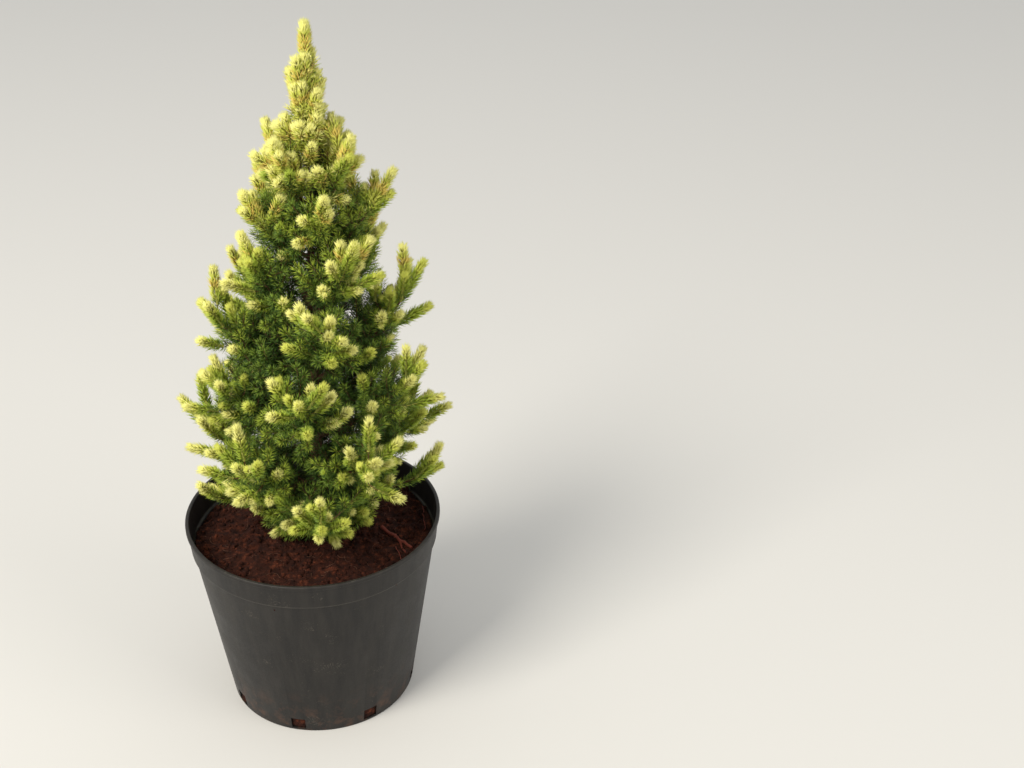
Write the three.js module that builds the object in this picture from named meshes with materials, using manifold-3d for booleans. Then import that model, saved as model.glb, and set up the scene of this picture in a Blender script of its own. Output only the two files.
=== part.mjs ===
// Potted dwarf conifer: a cone-shaped young spruce growing in a moulded nursery pot of compost.
// Millimetres, +Z up. The origin is the centre of the pot's flat underside, and the front is -Y.
// Angles round the plant are in degrees from +X, anticlockwise seen from above.
import * as THREE from 'three';
import { mergeVertices } from 'three/addons/utils/BufferGeometryUtils.js';
import Module from 'manifold-3d';

const wasm = await Module();
wasm.setup();

// Clear gap kept between pieces that touch
const GAP = 0.3;

// Pot, a thin moulded wall with a deeper collar and a lip
const POT = {
  height: 212,
  baseRadius: 97,
  shoulderRadius: 124,
  rimRadius: 130,
  wall: 2,
  floor: 3,
  collarDepth: 29,
  collarStep: 2.2,
  lipDepth: 5,
  lipProud: 1.6,
  sides: 48,
};
// Drainage slots cut through the foot of the wall
const SLOT = { count: 8, width: 15, height: 17, first: 261, depth: 16 };

// Compost, domed a little towards the trunk
const COMPOST = { edge: 183, crest: 188, flat: 15, sides: 30, lump: 2.6, rings: [0.32, 0.58, 0.82] };

// Trunk, from its flat cut on the compost to the base of the leading shoot
const TRUNK = {
  footX: 3,
  lean: 1.9,
  wander: 2.5,
  wave: 260,
  foot: COMPOST.crest + GAP,
  top: 616,
  flareRadius: 13,
  flareHeight: 16,
  radius: 7.5,
  tipRadius: 1.8,
  sides: 8,
  rings: 12,
};

// Crown. The leading shoot ends at the top, and the limbs come in tiers below it
const TOP = 719;
const TIERS = [
  { name: 'crest', count: 4, turn: 330, tip: 622, reach: 46, rise: 72, core: 15, sprays: 6 },
  { name: 'shoulder', count: 5, turn: 0, tip: 580, reach: 62, rise: 84, core: 20, sprays: 6 },
  { name: 'upper', count: 4, turn: 38, tip: 535, reach: 78, rise: 98, core: 28, sprays: 8, bough: 0.3 },
  { name: 'high', count: 5, turn: 0, tip: 476, reach: 93, rise: 105, core: 32, sprays: 8, bough: 0.3 },
  { name: 'middle', count: 5, turn: 342, tip: 405, reach: 106, rise: 100, core: 38, sprays: 8, bough: 0.32 },
  { name: 'low', count: 5, turn: 20, tip: 330, reach: 114, rise: 84, core: 42, sprays: 8, bough: 0.32 },
  { name: 'skirt', count: 4, turn: 8, tip: 262, reach: 106, rise: 46, core: 40, sprays: 8, bough: 0.32 },
];
// Limbs that stand out of the even cone, by tier and number, with what they add to their tier
const PLUMES = {
  shoulder_1: { reach: 18, tip: 4 },
  upper_3: { reach: -6, tip: 8 },
  high_1: { reach: 12, tip: 22 },
  high_4: { reach: 8, tip: -12, turn: -22 },
  middle_1: { reach: 6, tip: -4 },
  middle_4: { reach: -2, tip: -14 },
  low_1: { reach: 4 },
  low_3: { reach: 3, tip: 2, turn: 14 },
  skirt_1: { reach: 22, tip: -4 },
  skirt_3: { reach: -4, tip: -8 },
};

// Limbs and twigs
const LIMB = {
  rootRadius: 3.6,
  joinRadius: 2.3,
  tipRadius: 1.1,
  fullReach: 125,
  thinnest: 0.45,
  sides: 5,
  steps: 4,
  stagger: 34,
};
const STEM = { sides: 3, steps: 4, end: 0.9, lastSpray: 36 };
const TWIG = { openRoot: 64, openTip: 32, leaderOpen: 0.45, lift: 0.3, flat: 0.8, tries: 12, spacing: 13 };
// Dense heart of a mass: ring places between the stem's start and its tip, the rings' share of the
// room they have, and how far the panels' own tufts fill that room
const CORE = {
  places: [0.04, 0.34, 0.64, 0.86],
  shares: [0.25, 0.5, 0.42, 0],
  sides: 5,
  tuftReach: 0.8,
  tuftForward: 8,
  margin: 0.8,
  least: 2,
  step: 2,
};
const GOLDEN = 137.5;

// Spray of needles: ring places along it and the core's radius at each, then how far its needles
// stand out and forward as shares of its length
const SPRAY = {
  places: [0, 0.3, 0.58, 0.85, 1],
  radii: [0, 1.6, 2.9, 2, 0],
  sides: 3,
  twist: 50,
  needleOut: 0.19,
  needleForward: 0.2,
  lastNeedles: 0.65,
  coreReach: 1.4,
  length: 46,
  topLength: 30,
  shortest: 24,
  sunk: 8,
};
const SEED = 2909;

// Finishes
const FINISH = {
  pot: new THREE.MeshStandardMaterial({ color: 0x45433f, roughness: 0.55, metalness: 0 }),
  compost: new THREE.MeshStandardMaterial({ color: 0x4a241c, roughness: 0.95, metalness: 0 }),
  bark: new THREE.MeshStandardMaterial({ color: 0x6b4a36, roughness: 0.9, metalness: 0 }),
  foliage: new THREE.MeshStandardMaterial({ color: 0xa9b83a, roughness: 0.7, metalness: 0 }),
};

const group = new THREE.Group();

// A repeatable number from 0 to 1 for a row of whole numbers
function chance(...keys) {
  let hash = SEED;
  for (const key of keys) {
    hash = Math.imul(hash ^ (key + 0x9e37), 0x85ebca6b);
    hash ^= hash >>> 13;
    hash = Math.imul(hash, 0xc2b2ae35);
    hash ^= hash >>> 16;
  }
  return (hash >>> 0) / 4294967296;
}

const radians = THREE.MathUtils.degToRad;
const mix = THREE.MathUtils.lerp;

// Unit vector that points outwards at an angle round the plant
function outwards(degrees) {
  return new THREE.Vector3(Math.cos(radians(degrees)), Math.sin(radians(degrees)), 0);
}

// Centre line of the trunk and of the whole crown at a height
function axisAt(z) {
  const rise = z - COMPOST.crest;
  const x = TRUNK.footX + rise * Math.tan(radians(TRUNK.lean));
  const y = TRUNK.wander * Math.sin((2 * Math.PI * rise) / TRUNK.wave);
  return new THREE.Vector3(x, y, z);
}

// Radius of the trunk at a height, with the root flare in its lowest part
function trunkRadius(z) {
  const share = (z - TRUNK.foot) / (TRUNK.top - TRUNK.foot);
  const flare = (TRUNK.flareRadius - TRUNK.radius) * Math.exp((-3 * (z - TRUNK.foot)) / TRUNK.flareHeight);
  return mix(TRUNK.radius, TRUNK.tipRadius, THREE.MathUtils.clamp(share, 0, 1)) + flare;
}

// Closed solid made by joining and cutting, from a closed geometry
function solidFrom(geometry) {
  geometry.deleteAttribute('normal');
  geometry.deleteAttribute('uv');
  const merged = mergeVertices(geometry, 1e-4);
  const vertProperties = new Float32Array(merged.attributes.position.array);
  const triVerts = new Uint32Array(merged.index.array);
  return new wasm.Manifold(new wasm.Mesh({ numProp: 3, vertProperties, triVerts }));
}

// Largest whole piece of a solid, so that a sealed hollow is filled and loose scrap is dropped
function largest(solid) {
  return solid.decompose().reduce((best, piece) => (piece.volume() > best.volume() ? piece : best));
}

// Named mesh of a solid, added to the plant
function addPiece(name, solid, material) {
  const { vertProperties, triVerts } = solid.getMesh();
  const geometry = new THREE.BufferGeometry();
  geometry.setAttribute('position', new THREE.BufferAttribute(new Float32Array(vertProperties), 3));
  geometry.setIndex(new THREE.BufferAttribute(new Uint32Array(triVerts), 1));
  geometry.computeVertexNormals();
  const mesh = new THREE.Mesh(geometry, material);
  mesh.name = name;
  group.add(mesh);
}

// Closed geometry over rings of points, each ring anticlockwise seen from ahead. A first or last ring
// of one point is a tip. A panel that spike gives an apex stands up as a needle instead of lying flat.
function skin(rings, spike = () => null) {
  const points = rings.flat();
  const index = [];
  let first = 0;
  for (let band = 0; band < rings.length - 1; band += 1) {
    const next = first + rings[band].length;
    const sides = Math.max(rings[band].length, rings[band + 1].length);
    for (let side = 0; side < sides; side += 1) {
      const turned = (side + 1) % sides;
      if (rings[band].length === 1) {
        index.push(first, next + turned, next + side);
      } else if (rings[band + 1].length === 1) {
        index.push(first + side, first + turned, next);
      } else {
        const panel = [first + side, first + turned, next + turned, next + side];
        const apex = spike(panel.map((corner) => points[corner]), band);
        if (apex) {
          const top = points.push(apex) - 1;
          panel.forEach((corner, i) => index.push(corner, panel[(i + 1) % 4], top));
        } else {
          index.push(panel[0], panel[1], panel[2], panel[0], panel[2], panel[3]);
        }
      }
    }
    first = next;
  }
  for (let side = 1; side < rings[0].length - 1; side += 1) index.push(0, side + 1, side);
  for (let side = 1; side < rings[rings.length - 1].length - 1; side += 1) {
    index.push(first, first + side, first + side + 1);
  }
  const geometry = new THREE.BufferGeometry().setFromPoints(points);
  geometry.setIndex(index);
  return geometry;
}

// Rings square to a path, turned a little from one to the next by the twist
function ringsAlong(path, radii, sides, twist = 0) {
  const rings = [];
  let across = null;
  for (let i = 0; i < path.length; i += 1) {
    const before = path[Math.max(i - 1, 0)];
    const after = path[Math.min(i + 1, path.length - 1)];
    const ahead = after.clone().sub(before).normalize();
    if (!across) {
      across = Math.abs(ahead.z) < 0.9 ? new THREE.Vector3(0, 0, 1) : new THREE.Vector3(1, 0, 0);
    }
    across = across.clone().addScaledVector(ahead, -across.dot(ahead)).normalize();
    const other = ahead.clone().cross(across);
    if (radii[i] === 0) {
      rings.push([path[i].clone()]);
    } else {
      const ring = [];
      for (let side = 0; side < sides; side += 1) {
        const angle = (2 * Math.PI * side) / sides + radians(twist * i);
        const point = path[i].clone().addScaledVector(across, radii[i] * Math.cos(angle));
        ring.push(point.addScaledVector(other, radii[i] * Math.sin(angle)));
      }
      rings.push(ring);
    }
  }
  return rings;
}

// Every limb of the crown: its tier, number, angle and curve from the trunk's middle to its tip
function layOutLimbs() {
  const limbs = [];
  const stemFoot = axisAt(TRUNK.top + GAP);
  const stemTop = axisAt(TOP);
  const middle = stemFoot.clone().lerp(stemTop, 0.5);
  limbs.push({
    name: 'leader',
    id: 0,
    turn: 90,
    core: 10,
    sprays: 8,
    thickness: LIMB.thinnest,
    curve: new THREE.QuadraticBezierCurve3(stemFoot, middle, stemTop),
  });
  TIERS.forEach((tier, tierNumber) => {
    for (let number = 1; number <= tier.count; number += 1) {
      const name = `${tier.name}_${number}`;
      const plume = { reach: 0, tip: 0, turn: 0, ...PLUMES[name] };
      const id = tierNumber * 10 + 10 + number;
      const turn = tier.turn + ((number - 1) * 360) / tier.count + plume.turn + 8 * (chance(id, 1) - 0.5);
      const reach = tier.reach + plume.reach + 6 * (chance(id, 2) - 0.5);
      const tipHeight = tier.tip + plume.tip + 10 * (chance(id, 3) - 0.5);
      const stagger = LIMB.stagger * (((number * GOLDEN) / 360) % 1 - 0.5);
      const start = axisAt(tier.tip - tier.rise + stagger);
      const thickness = mix(LIMB.thinnest, 1, reach / LIMB.fullReach);
      const end = axisAt(tipHeight).addScaledVector(outwards(turn), reach);
      const bend = start.clone().addScaledVector(outwards(turn), reach * 0.6);
      bend.z += tier.rise * 0.3;
      const curve = new THREE.QuadraticBezierCurve3(start, bend, end);
      limbs.push({ ...tier, name, id, turn, thickness, curve });
    }
  });
  return limbs;
}

// Radius of a limb at a share of its length
function limbRadius(limb, share) {
  const inner = mix(LIMB.rootRadius, LIMB.joinRadius, share / 0.42);
  const outer = mix(LIMB.joinRadius, LIMB.tipRadius, (share - 0.42) / 0.58);
  return limb.thickness * (share < 0.42 ? inner : outer);
}

// Points of a curve from one share of it to another
function pointsBetween(curve, from, to, steps) {
  return Array.from({ length: steps + 1 }, (_, i) => curve.getPoint(mix(from, to, i / steps)));
}

// Share of the curve at which a mass's stem starts: past its bough's tip, or past the trunk's side
function stemStart(limb) {
  if (limb.name === 'leader') return 0;
  if (limb.bough) return limb.bough + GAP / limb.curve.getLength();
  return 0.02;
}

// Shortest distance between two straight pieces, each from a to b
function distanceBetween(first, second) {
  const u = first.b.clone().sub(first.a);
  const v = second.b.clone().sub(second.a);
  const w = first.a.clone().sub(second.a);
  const uu = u.dot(u);
  const uv = u.dot(v);
  const vv = v.dot(v);
  const uw = u.dot(w);
  const vw = v.dot(w);
  const cross = uu * vv - uv * uv;
  let s = cross > 1e-6 ? THREE.MathUtils.clamp((uv * vw - vv * uw) / cross, 0, 1) : 0;
  const t = THREE.MathUtils.clamp((uv * s + vw) / vv, 0, 1);
  s = THREE.MathUtils.clamp((uv * t - uw) / uu, 0, 1);
  return w.addScaledVector(u, s).addScaledVector(v, -t).length();
}

// Straight pieces with a thickness that stand for a limb, for keeping clear of it
function limbPieces(limb, from, to) {
  const points = pointsBetween(limb.curve, from, to, 5);
  return points.slice(1).map((b, i) => ({ a: points[i], b, radius: limbRadius(limb, mix(from, to, i / 5)) }));
}

// Direction of a twig that leaves a stem: opened away from it, rolled round it, then lifted
function twigAim(limb, share, roll, open) {
  const ahead = limb.curve.getTangent(share);
  const side = outwards(limb.turn + 90);
  const below = side.clone().cross(ahead);
  const away = side.multiplyScalar(Math.cos(roll)).addScaledVector(below, TWIG.flat * Math.sin(roll));
  const aim = ahead.multiplyScalar(Math.cos(open)).addScaledVector(away.normalize(), Math.sin(open));
  aim.z += TWIG.lift;
  return aim.normalize();
}

// How far a point lies inside its limb's own space, which ends half way to every other limb
function depthInSpace(point, limb, limbs) {
  const near = limb.nearest(point);
  let depth = Infinity;
  for (const other of limbs) {
    if (other !== limb) {
      const there = other.nearest(point);
      const gap = point.distanceToSquared(there) - point.distanceToSquared(near);
      depth = Math.min(depth, gap / (2 * there.distanceTo(near)));
    }
  }
  return depth;
}

// Room from a stem's point in one direction, up to the core's full size
function roomFor(limb, limbs, from, aim) {
  let room = 0;
  const clear = { radius: CORE.margin };
  for (let reach = CORE.step; reach <= limb.core; reach += CORE.step) {
    const point = from.clone().addScaledVector(aim, reach);
    const inSpace = depthInSpace(point, limb, limbs) > CORE.margin;
    if (!inSpace || !clearsPot({ a: point, b: point, ...clear })) break;
    room = reach;
  }
  return room;
}

// A spray from a to b on a limb's mass, with the radius that its needles reach
function makeSpray(a, b, limb) {
  return { a, b, limb, radius: SPRAY.needleOut * a.distanceTo(b) + SPRAY.coreReach };
}

// The spray that ends the stem of a mass
function endSpray(limb) {
  const from = limb.curve.getPoint(1 - STEM.lastSpray / limb.curve.getLength());
  return makeSpray(from, limb.curve.getPoint(1), limb);
}

// Sprays that stand out of a mass, each on a twig that branches from its stem
function growSprays(limb, limbs, solids, grown) {
  const start = stemStart(limb);
  const sprays = [];
  for (let number = 0; number < limb.sprays; number += 1) {
    const along = (number + 0.5) / limb.sprays;
    const share = mix(start, 0.9, 0.12 + 0.8 * along);
    for (let attempt = 0; attempt < TWIG.tries; attempt += 1) {
      const sway = (salt) => chance(limb.id, number, attempt, salt) - 0.5;
      const roll = radians(GOLDEN * number + 25 + 75 * attempt * sway(4));
      const widest = mix(TWIG.openRoot, TWIG.openTip, along) + 20 * sway(5);
      const open = radians(widest * (limb.name === 'leader' ? TWIG.leaderOpen : 1));
      const aim = twigAim(limb, share, roll, open);
      const stem = limb.curve.getPoint(share);
      const surface = CORE.shares[2] * roomFor(limb, limbs, stem, aim);
      const from = stem.clone().addScaledVector(aim, Math.max(surface - SPRAY.sunk, 0));
      const full = mix(SPRAY.topLength, SPRAY.length, Math.min(limb.thickness * 1.2, 1));
      const length = Math.max(full * (1 + 0.3 * sway(6) - 0.05 * attempt), SPRAY.shortest);
      const spray = makeSpray(from, from.clone().addScaledVector(aim, length), limb);
      if (fits(spray, limbs, solids, grown)) {
        sprays.push(spray);
        grown.push(spray);
        break;
      }
    }
  }
  return sprays;
}

// Core of a mass: rings that fill a share of the room round the stem, with every panel tufted
function coreSolid(limb, limbs) {
  const start = stemStart(limb);
  const side = outwards(limb.turn + 90);
  const stems = CORE.places.map((place) => limb.curve.getPoint(mix(start, 1, place)));
  const spoke = (ring, angle) => {
    const ahead = limb.curve.getTangent(mix(start, 1, CORE.places[ring]));
    const below = side.clone().cross(ahead);
    return side.clone().multiplyScalar(Math.cos(angle)).addScaledVector(below, -Math.sin(angle));
  };
  const rings = stems.map((stem, ring) => {
    if (CORE.shares[ring] === 0) return [stem];
    return Array.from({ length: CORE.sides }, (_, corner) => {
      const aim = spoke(ring, (2 * Math.PI * (corner + 0.5 * (ring % 2))) / CORE.sides);
      const reach = CORE.shares[ring] * roomFor(limb, limbs, stem, aim);
      return stem.clone().addScaledVector(aim, Math.max(reach, CORE.least));
    });
  });
  const tuft = (corners, band) => {
    const centre = corners.reduce((sum, corner) => sum.add(corner), new THREE.Vector3()).divideScalar(4);
    const stem = stems[band].clone().lerp(stems[band + 1], 0.5);
    const ahead = stems[band + 1].clone().sub(stems[band]).normalize();
    const out = centre.clone().sub(stem);
    out.addScaledVector(ahead, -out.dot(ahead));
    const from = stem.addScaledVector(ahead, CORE.tuftForward);
    const size = out.length();
    const reach = Math.max(CORE.tuftReach * roomFor(limb, limbs, from, out.normalize()), size + 1);
    return from.addScaledVector(out, reach);
  };
  return solidFrom(skin(rings, tuft));
}

// True where a spray stays above the compost and clear of the pot's rim
function clearsPot(spray) {
  const inside = POT.rimRadius - POT.lipProud - POT.wall - spray.radius - 3;
  for (const share of [0.3, 0.65, 1]) {
    const point = spray.a.clone().lerp(spray.b, share);
    if (point.z < COMPOST.crest + spray.radius + 2) return false;
    if (point.z < POT.height + spray.radius + 3 && Math.hypot(point.x, point.y) > inside) return false;
  }
  return true;
}

// True where a spray keeps its space, touches no limb or other mass, and isn't crowded in its own
function fits(spray, limbs, solids, grown) {
  if (!clearsPot(spray)) return false;
  for (const share of [0.3, 0.65, 1]) {
    const point = spray.a.clone().lerp(spray.b, share);
    if (depthInSpace(point, spray.limb, limbs) < spray.radius * 0.9) return false;
  }
  for (const solid of solids) {
    if (distanceBetween(spray, solid) < solid.radius + spray.radius) return false;
  }
  const outer = { a: spray.a.clone().lerp(spray.b, 0.5), b: spray.b };
  for (const other of grown) {
    if (other.limb !== spray.limb) {
      if (distanceBetween(spray, other) < other.radius + spray.radius) return false;
    } else {
      const otherOuter = { a: other.a.clone().lerp(other.b, 0.5), b: other.b };
      if (distanceBetween(outer, otherOuter) < TWIG.spacing) return false;
    }
  }
  return true;
}

// One spray as a closed solid: a slim core, each panel of it past its bare root raised to a needle
function spraySolid(spray) {
  const path = SPRAY.places.map((place) => spray.a.clone().lerp(spray.b, place));
  const rings = ringsAlong(path, SPRAY.radii, SPRAY.sides, SPRAY.twist);
  const ahead = spray.b.clone().sub(spray.a).normalize();
  const length = spray.a.distanceTo(spray.b);
  const lastBand = SPRAY.places.length - 3;
  const needle = (corners, band) => {
    const centre = corners.reduce((sum, corner) => sum.add(corner), new THREE.Vector3()).divideScalar(4);
    const from = centre.clone().sub(spray.a);
    const out = from.addScaledVector(ahead, -from.dot(ahead)).normalize();
    const spread = SPRAY.needleOut * length * (band === lastBand ? SPRAY.lastNeedles : 1);
    return centre.addScaledVector(out, spread).addScaledVector(ahead, SPRAY.needleForward * length);
  };
  return solidFrom(skin(rings, needle));
}

// Trunk grown by the gap, which cuts the limbs clear of it
function trunkSolid(extra) {
  const rings = [];
  for (let i = 0; i <= TRUNK.rings; i += 1) {
    const z = mix(TRUNK.foot, TRUNK.top, (i / TRUNK.rings) ** 1.6);
    const centre = axisAt(z);
    const ring = [];
    for (let side = 0; side < TRUNK.sides; side += 1) {
      const direction = outwards((360 * (side + 0.5)) / TRUNK.sides);
      ring.push(centre.clone().addScaledVector(direction, trunkRadius(z) + extra));
    }
    rings.push(ring);
  }
  return solidFrom(skin(rings));
}

// Pot: the wall turned as one profile, with the drainage slots cut through its foot
function buildPot() {
  const shoulder = POT.height - POT.collarDepth;
  const slope = (POT.shoulderRadius - POT.baseRadius) / shoulder;
  const inner = (z) => POT.baseRadius + slope * z - POT.wall;
  const collarRadius = POT.rimRadius - POT.lipProud;
  const lipFoot = POT.height - POT.lipDepth;
  const profile = [
    [0, 0],
    [POT.baseRadius, 0],
    [POT.shoulderRadius, shoulder],
    [POT.shoulderRadius + POT.collarStep, shoulder + 1.5],
    [collarRadius, lipFoot],
    [POT.rimRadius, lipFoot + 1],
    [POT.rimRadius, POT.height - 1],
    [POT.rimRadius - 1, POT.height],
    [collarRadius - POT.wall, POT.height],
    [POT.shoulderRadius + POT.collarStep - POT.wall, shoulder + 1.5],
    [inner(shoulder), shoulder - 1],
    [inner(POT.floor), POT.floor],
    [0, POT.floor],
  ].map(([r, z]) => new THREE.Vector2(r, z));
  const turned = new THREE.LatheGeometry(profile, POT.sides);
  turned.rotateX(Math.PI / 2);
  let pot = solidFrom(turned);
  for (let i = 0; i < SLOT.count; i += 1) {
    const angle = SLOT.first + (360 * i) / SLOT.count;
    const cutter = new THREE.BoxGeometry(SLOT.depth, SLOT.width, SLOT.height - POT.floor);
    cutter.translate(POT.baseRadius, 0, (SLOT.height + POT.floor) / 2);
    cutter.rotateZ(radians(angle));
    pot = pot.subtract(solidFrom(cutter));
  }
  addPiece('pot', pot, FINISH.pot);
}

// Compost: a lumpy dome that fills the pot down to its floor, flat under the trunk
function buildCompost() {
  const shoulder = POT.height - POT.collarDepth;
  const slope = (POT.shoulderRadius - POT.baseRadius) / shoulder;
  const innerAt = (z) => POT.baseRadius + slope * z - POT.wall - GAP * 1.5;
  const foot = POT.floor + GAP;
  const top = COMPOST.edge;
  const ring = (radius, z, lump) =>
    Array.from({ length: COMPOST.sides }, (_, side) => {
      const point = outwards((360 * side) / COMPOST.sides).multiplyScalar(radius);
      point.z = z + lump * (chance(Math.round(radius), side, 7) - 0.5);
      return point;
    });
  const edge = innerAt(top - 1);
  const rings = [ring(innerAt(foot), foot, 0), ring(edge, top, 0)];
  for (const share of [...COMPOST.rings].reverse()) {
    const radius = mix(COMPOST.flat, edge, share);
    rings.push(ring(radius, mix(COMPOST.crest, top, share ** 1.5) - 0.6, COMPOST.lump));
  }
  rings.push(ring(COMPOST.flat, COMPOST.crest, 0));
  addPiece('compost', solidFrom(skin(rings)), FINISH.compost);
}

// Bough: one tapering limb from the trunk's side to where its mass begins
function buildBough(limb, trunkCutter) {
  const path = pointsBetween(limb.curve, 0, limb.bough, LIMB.steps);
  const radii = path.map((_, i) => limbRadius(limb, (limb.bough * i) / LIMB.steps));
  const bough = solidFrom(skin(ringsAlong(path, radii, LIMB.sides)));
  addPiece(`bough_${limb.name}`, largest(bough.subtract(trunkCutter)), FINISH.bark);
}

// Mass of foliage: its stem, with the sprays fused on
function buildMass(limb, limbs, sprays, trunkCutter) {
  const start = stemStart(limb);
  const path = pointsBetween(limb.curve, start, STEM.end, STEM.steps);
  const radii = path.map((_, i) => limbRadius(limb, mix(start, STEM.end, i / STEM.steps)));
  const stem = solidFrom(skin(ringsAlong(path, radii, STEM.sides)));
  let mass = wasm.Manifold.union([stem, coreSolid(limb, limbs), ...sprays.map(spraySolid)]);
  if (!limb.bough) mass = mass.subtract(trunkCutter);
  addPiece(`foliage_${limb.name}`, largest(mass), FINISH.foliage);
}

buildPot();
buildCompost();
addPiece('trunk', trunkSolid(0), FINISH.bark);

const limbs = layOutLimbs();
for (const limb of limbs) {
  const stem = pointsBetween(limb.curve, 0.08, 1, 22);
  limb.nearest = (point) =>
    stem.reduce((best, p) => (p.distanceToSquared(point) < best.distanceToSquared(point) ? p : best));
}
const cutter = trunkSolid(GAP);
const trunkPieces = Array.from({ length: 6 }, (_, i) => {
  const low = mix(TRUNK.foot, TRUNK.top, i / 6);
  return { a: axisAt(low), b: axisAt(mix(TRUNK.foot, TRUNK.top, (i + 1) / 6)), radius: trunkRadius(low) };
});
const boughPieces = limbs.filter((limb) => limb.bough).flatMap((limb) => limbPieces(limb, 0, limb.bough));
const stemPieces = new Map(limbs.map((limb) => [limb, limbPieces(limb, stemStart(limb), STEM.end)]));
const endSprays = limbs.map(endSpray);
const grown = [...endSprays];
limbs.forEach((limb, i) => {
  if (limb.bough) buildBough(limb, cutter);
  const otherStems = limbs.filter((other) => other !== limb).flatMap((other) => stemPieces.get(other));
  const sprays = growSprays(limb, limbs, [...trunkPieces, ...boughPieces, ...otherStems], grown);
  buildMass(limb, limbs, [endSprays[i], ...sprays], cutter);
});

export default group;
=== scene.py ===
"""Looks of a potted dwarf conifer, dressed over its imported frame.

Lengths in the classes are in millimetres, as in the part's own plan, and become metres where a
mesh is made. The front of the plant is -Y, and angles round it are in degrees from +X.
"""

import logging
import math
from dataclasses import dataclass, field
from enum import Enum

import bpy
import numpy as np
from bpy.types import Material, Mesh, Node, NodeSocket, NodeTree, Object
from mathutils import Matrix, Vector, noise

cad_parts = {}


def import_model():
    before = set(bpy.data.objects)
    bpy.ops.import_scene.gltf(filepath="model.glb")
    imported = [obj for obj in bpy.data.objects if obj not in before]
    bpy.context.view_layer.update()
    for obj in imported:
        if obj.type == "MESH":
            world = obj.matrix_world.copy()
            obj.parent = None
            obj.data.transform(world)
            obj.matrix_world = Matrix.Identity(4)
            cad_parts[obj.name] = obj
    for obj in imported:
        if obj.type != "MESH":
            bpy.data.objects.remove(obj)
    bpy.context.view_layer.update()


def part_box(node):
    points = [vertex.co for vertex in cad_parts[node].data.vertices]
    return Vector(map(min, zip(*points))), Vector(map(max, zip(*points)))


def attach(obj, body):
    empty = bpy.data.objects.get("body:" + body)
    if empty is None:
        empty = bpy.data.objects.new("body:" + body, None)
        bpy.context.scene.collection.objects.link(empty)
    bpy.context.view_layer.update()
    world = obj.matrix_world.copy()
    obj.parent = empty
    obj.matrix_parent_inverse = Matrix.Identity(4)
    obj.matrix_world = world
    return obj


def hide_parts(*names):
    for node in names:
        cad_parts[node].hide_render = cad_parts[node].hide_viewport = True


log = logging.getLogger("potted_conifer")

MM = 0.001
BODY = "root"
# One seed for all that is random here, the same as the part's own plan has
SEED = 2909
# Degrees round a stem from one twig or needle to the next
GOLDEN = 137.5
UP = np.array([0.0, 0.0, 1.0])
# A little off upright, so that an upright stem has a side too
NEARLY_UP = np.array([0.02, 0.03, 1.0])
# A direction that no limb takes, to measure the turn round each from
CROSSWAYS = np.array([0.31, 0.95, 0.05])
# Keeps a division and the end of a range clear of rounding
TINY = 1e-6
Array = np.ndarray


def linear(code: str) -> tuple[float, float, float, float]:
    """Turns an sRGB hex colour to linear values.

    Args:
        code: six hex digits after a hash sign.

    Returns:
        Red, green, blue and an alpha of one.
    """
    parts = [int(code[i : i + 2], 16) / 255 for i in (1, 3, 5)]
    flat = [c / 12.92 if c <= 0.04045 else ((c + 0.055) / 1.055) ** 2.4 for c in parts]
    return flat[0], flat[1], flat[2], 1.0


def set_inputs(tree: NodeTree, node: Node, inputs: dict) -> None:
    """Sets or links inputs of a node.

    Args:
        tree: the node's tree.
        node: the node.
        inputs: by input name or number, a value, an output socket, or a node whose first output
            is linked.
    """
    for key, value in inputs.items():
        if isinstance(value, Node):
            value = value.outputs[0]
        if isinstance(value, NodeSocket):
            tree.links.new(value, node.inputs[key])
        else:
            node.inputs[key].default_value = value


def add_node(tree: NodeTree, kind: str, inputs: dict | None = None, **settings: object) -> Node:
    """Adds a node with its settings, values and links.

    Args:
        tree: node tree to add it to.
        kind: the node's type.
        inputs: its values and links, as for set_inputs.
        settings: the node's own properties; stops fills a colour ramp with places and hex codes.

    Returns:
        The new node.
    """
    node = tree.nodes.new(kind)
    stops = settings.pop("stops", [])
    for name, value in settings.items():
        setattr(node, name, value)
    for _ in stops[2:]:
        node.color_ramp.elements.new(0.5)
    for number, (place, code) in enumerate(stops):
        node.color_ramp.elements[number].position = place
        node.color_ramp.elements[number].color = linear(code)
    set_inputs(tree, node, inputs or {})
    return node


def new_surface(name: str) -> tuple[Material, NodeTree, Node]:
    """Makes a material with one Principled shader.

    Args:
        name: the material's name.

    Returns:
        The material, its node tree and its shader.
    """
    material = bpy.data.materials.new(name)
    material.use_nodes = True
    return material, material.node_tree, material.node_tree.nodes["Principled BSDF"]


def mix(start: float | Array, end: float | Array, share: float | Array) -> float | Array:
    """Value at a share of the way from start to end."""
    return start + (end - start) * share


def unit(vectors: Array) -> Array:
    """Vectors brought to length one, along the last axis."""
    return vectors / np.linalg.norm(vectors, axis=-1, keepdims=True)


def bent(start: Array, bend: Array, end: Array, share: Array) -> Array:
    """Points at shares of a curve that bends towards a third point on its way."""
    return (1 - share) ** 2 * start + 2 * share * (1 - share) * bend + share**2 * end


def lengths_along(path: Array) -> Array:
    """Length from a path's start to each of its points."""
    return np.concatenate([[0], np.cumsum(np.linalg.norm(np.diff(path, axis=0), axis=1))])


def points_at(path: Array, along: Array, places: float | Array) -> Array:
    """Points of a path at places, where along says at which place each of its own points is."""
    return np.stack([np.interp(places, along, column) for column in path.T], -1)


def outwards(degrees: float) -> Array:
    """Level unit vector that points outwards at an angle round the plant."""
    return np.array([math.cos(math.radians(degrees)), math.sin(math.radians(degrees)), 0.0])


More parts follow.
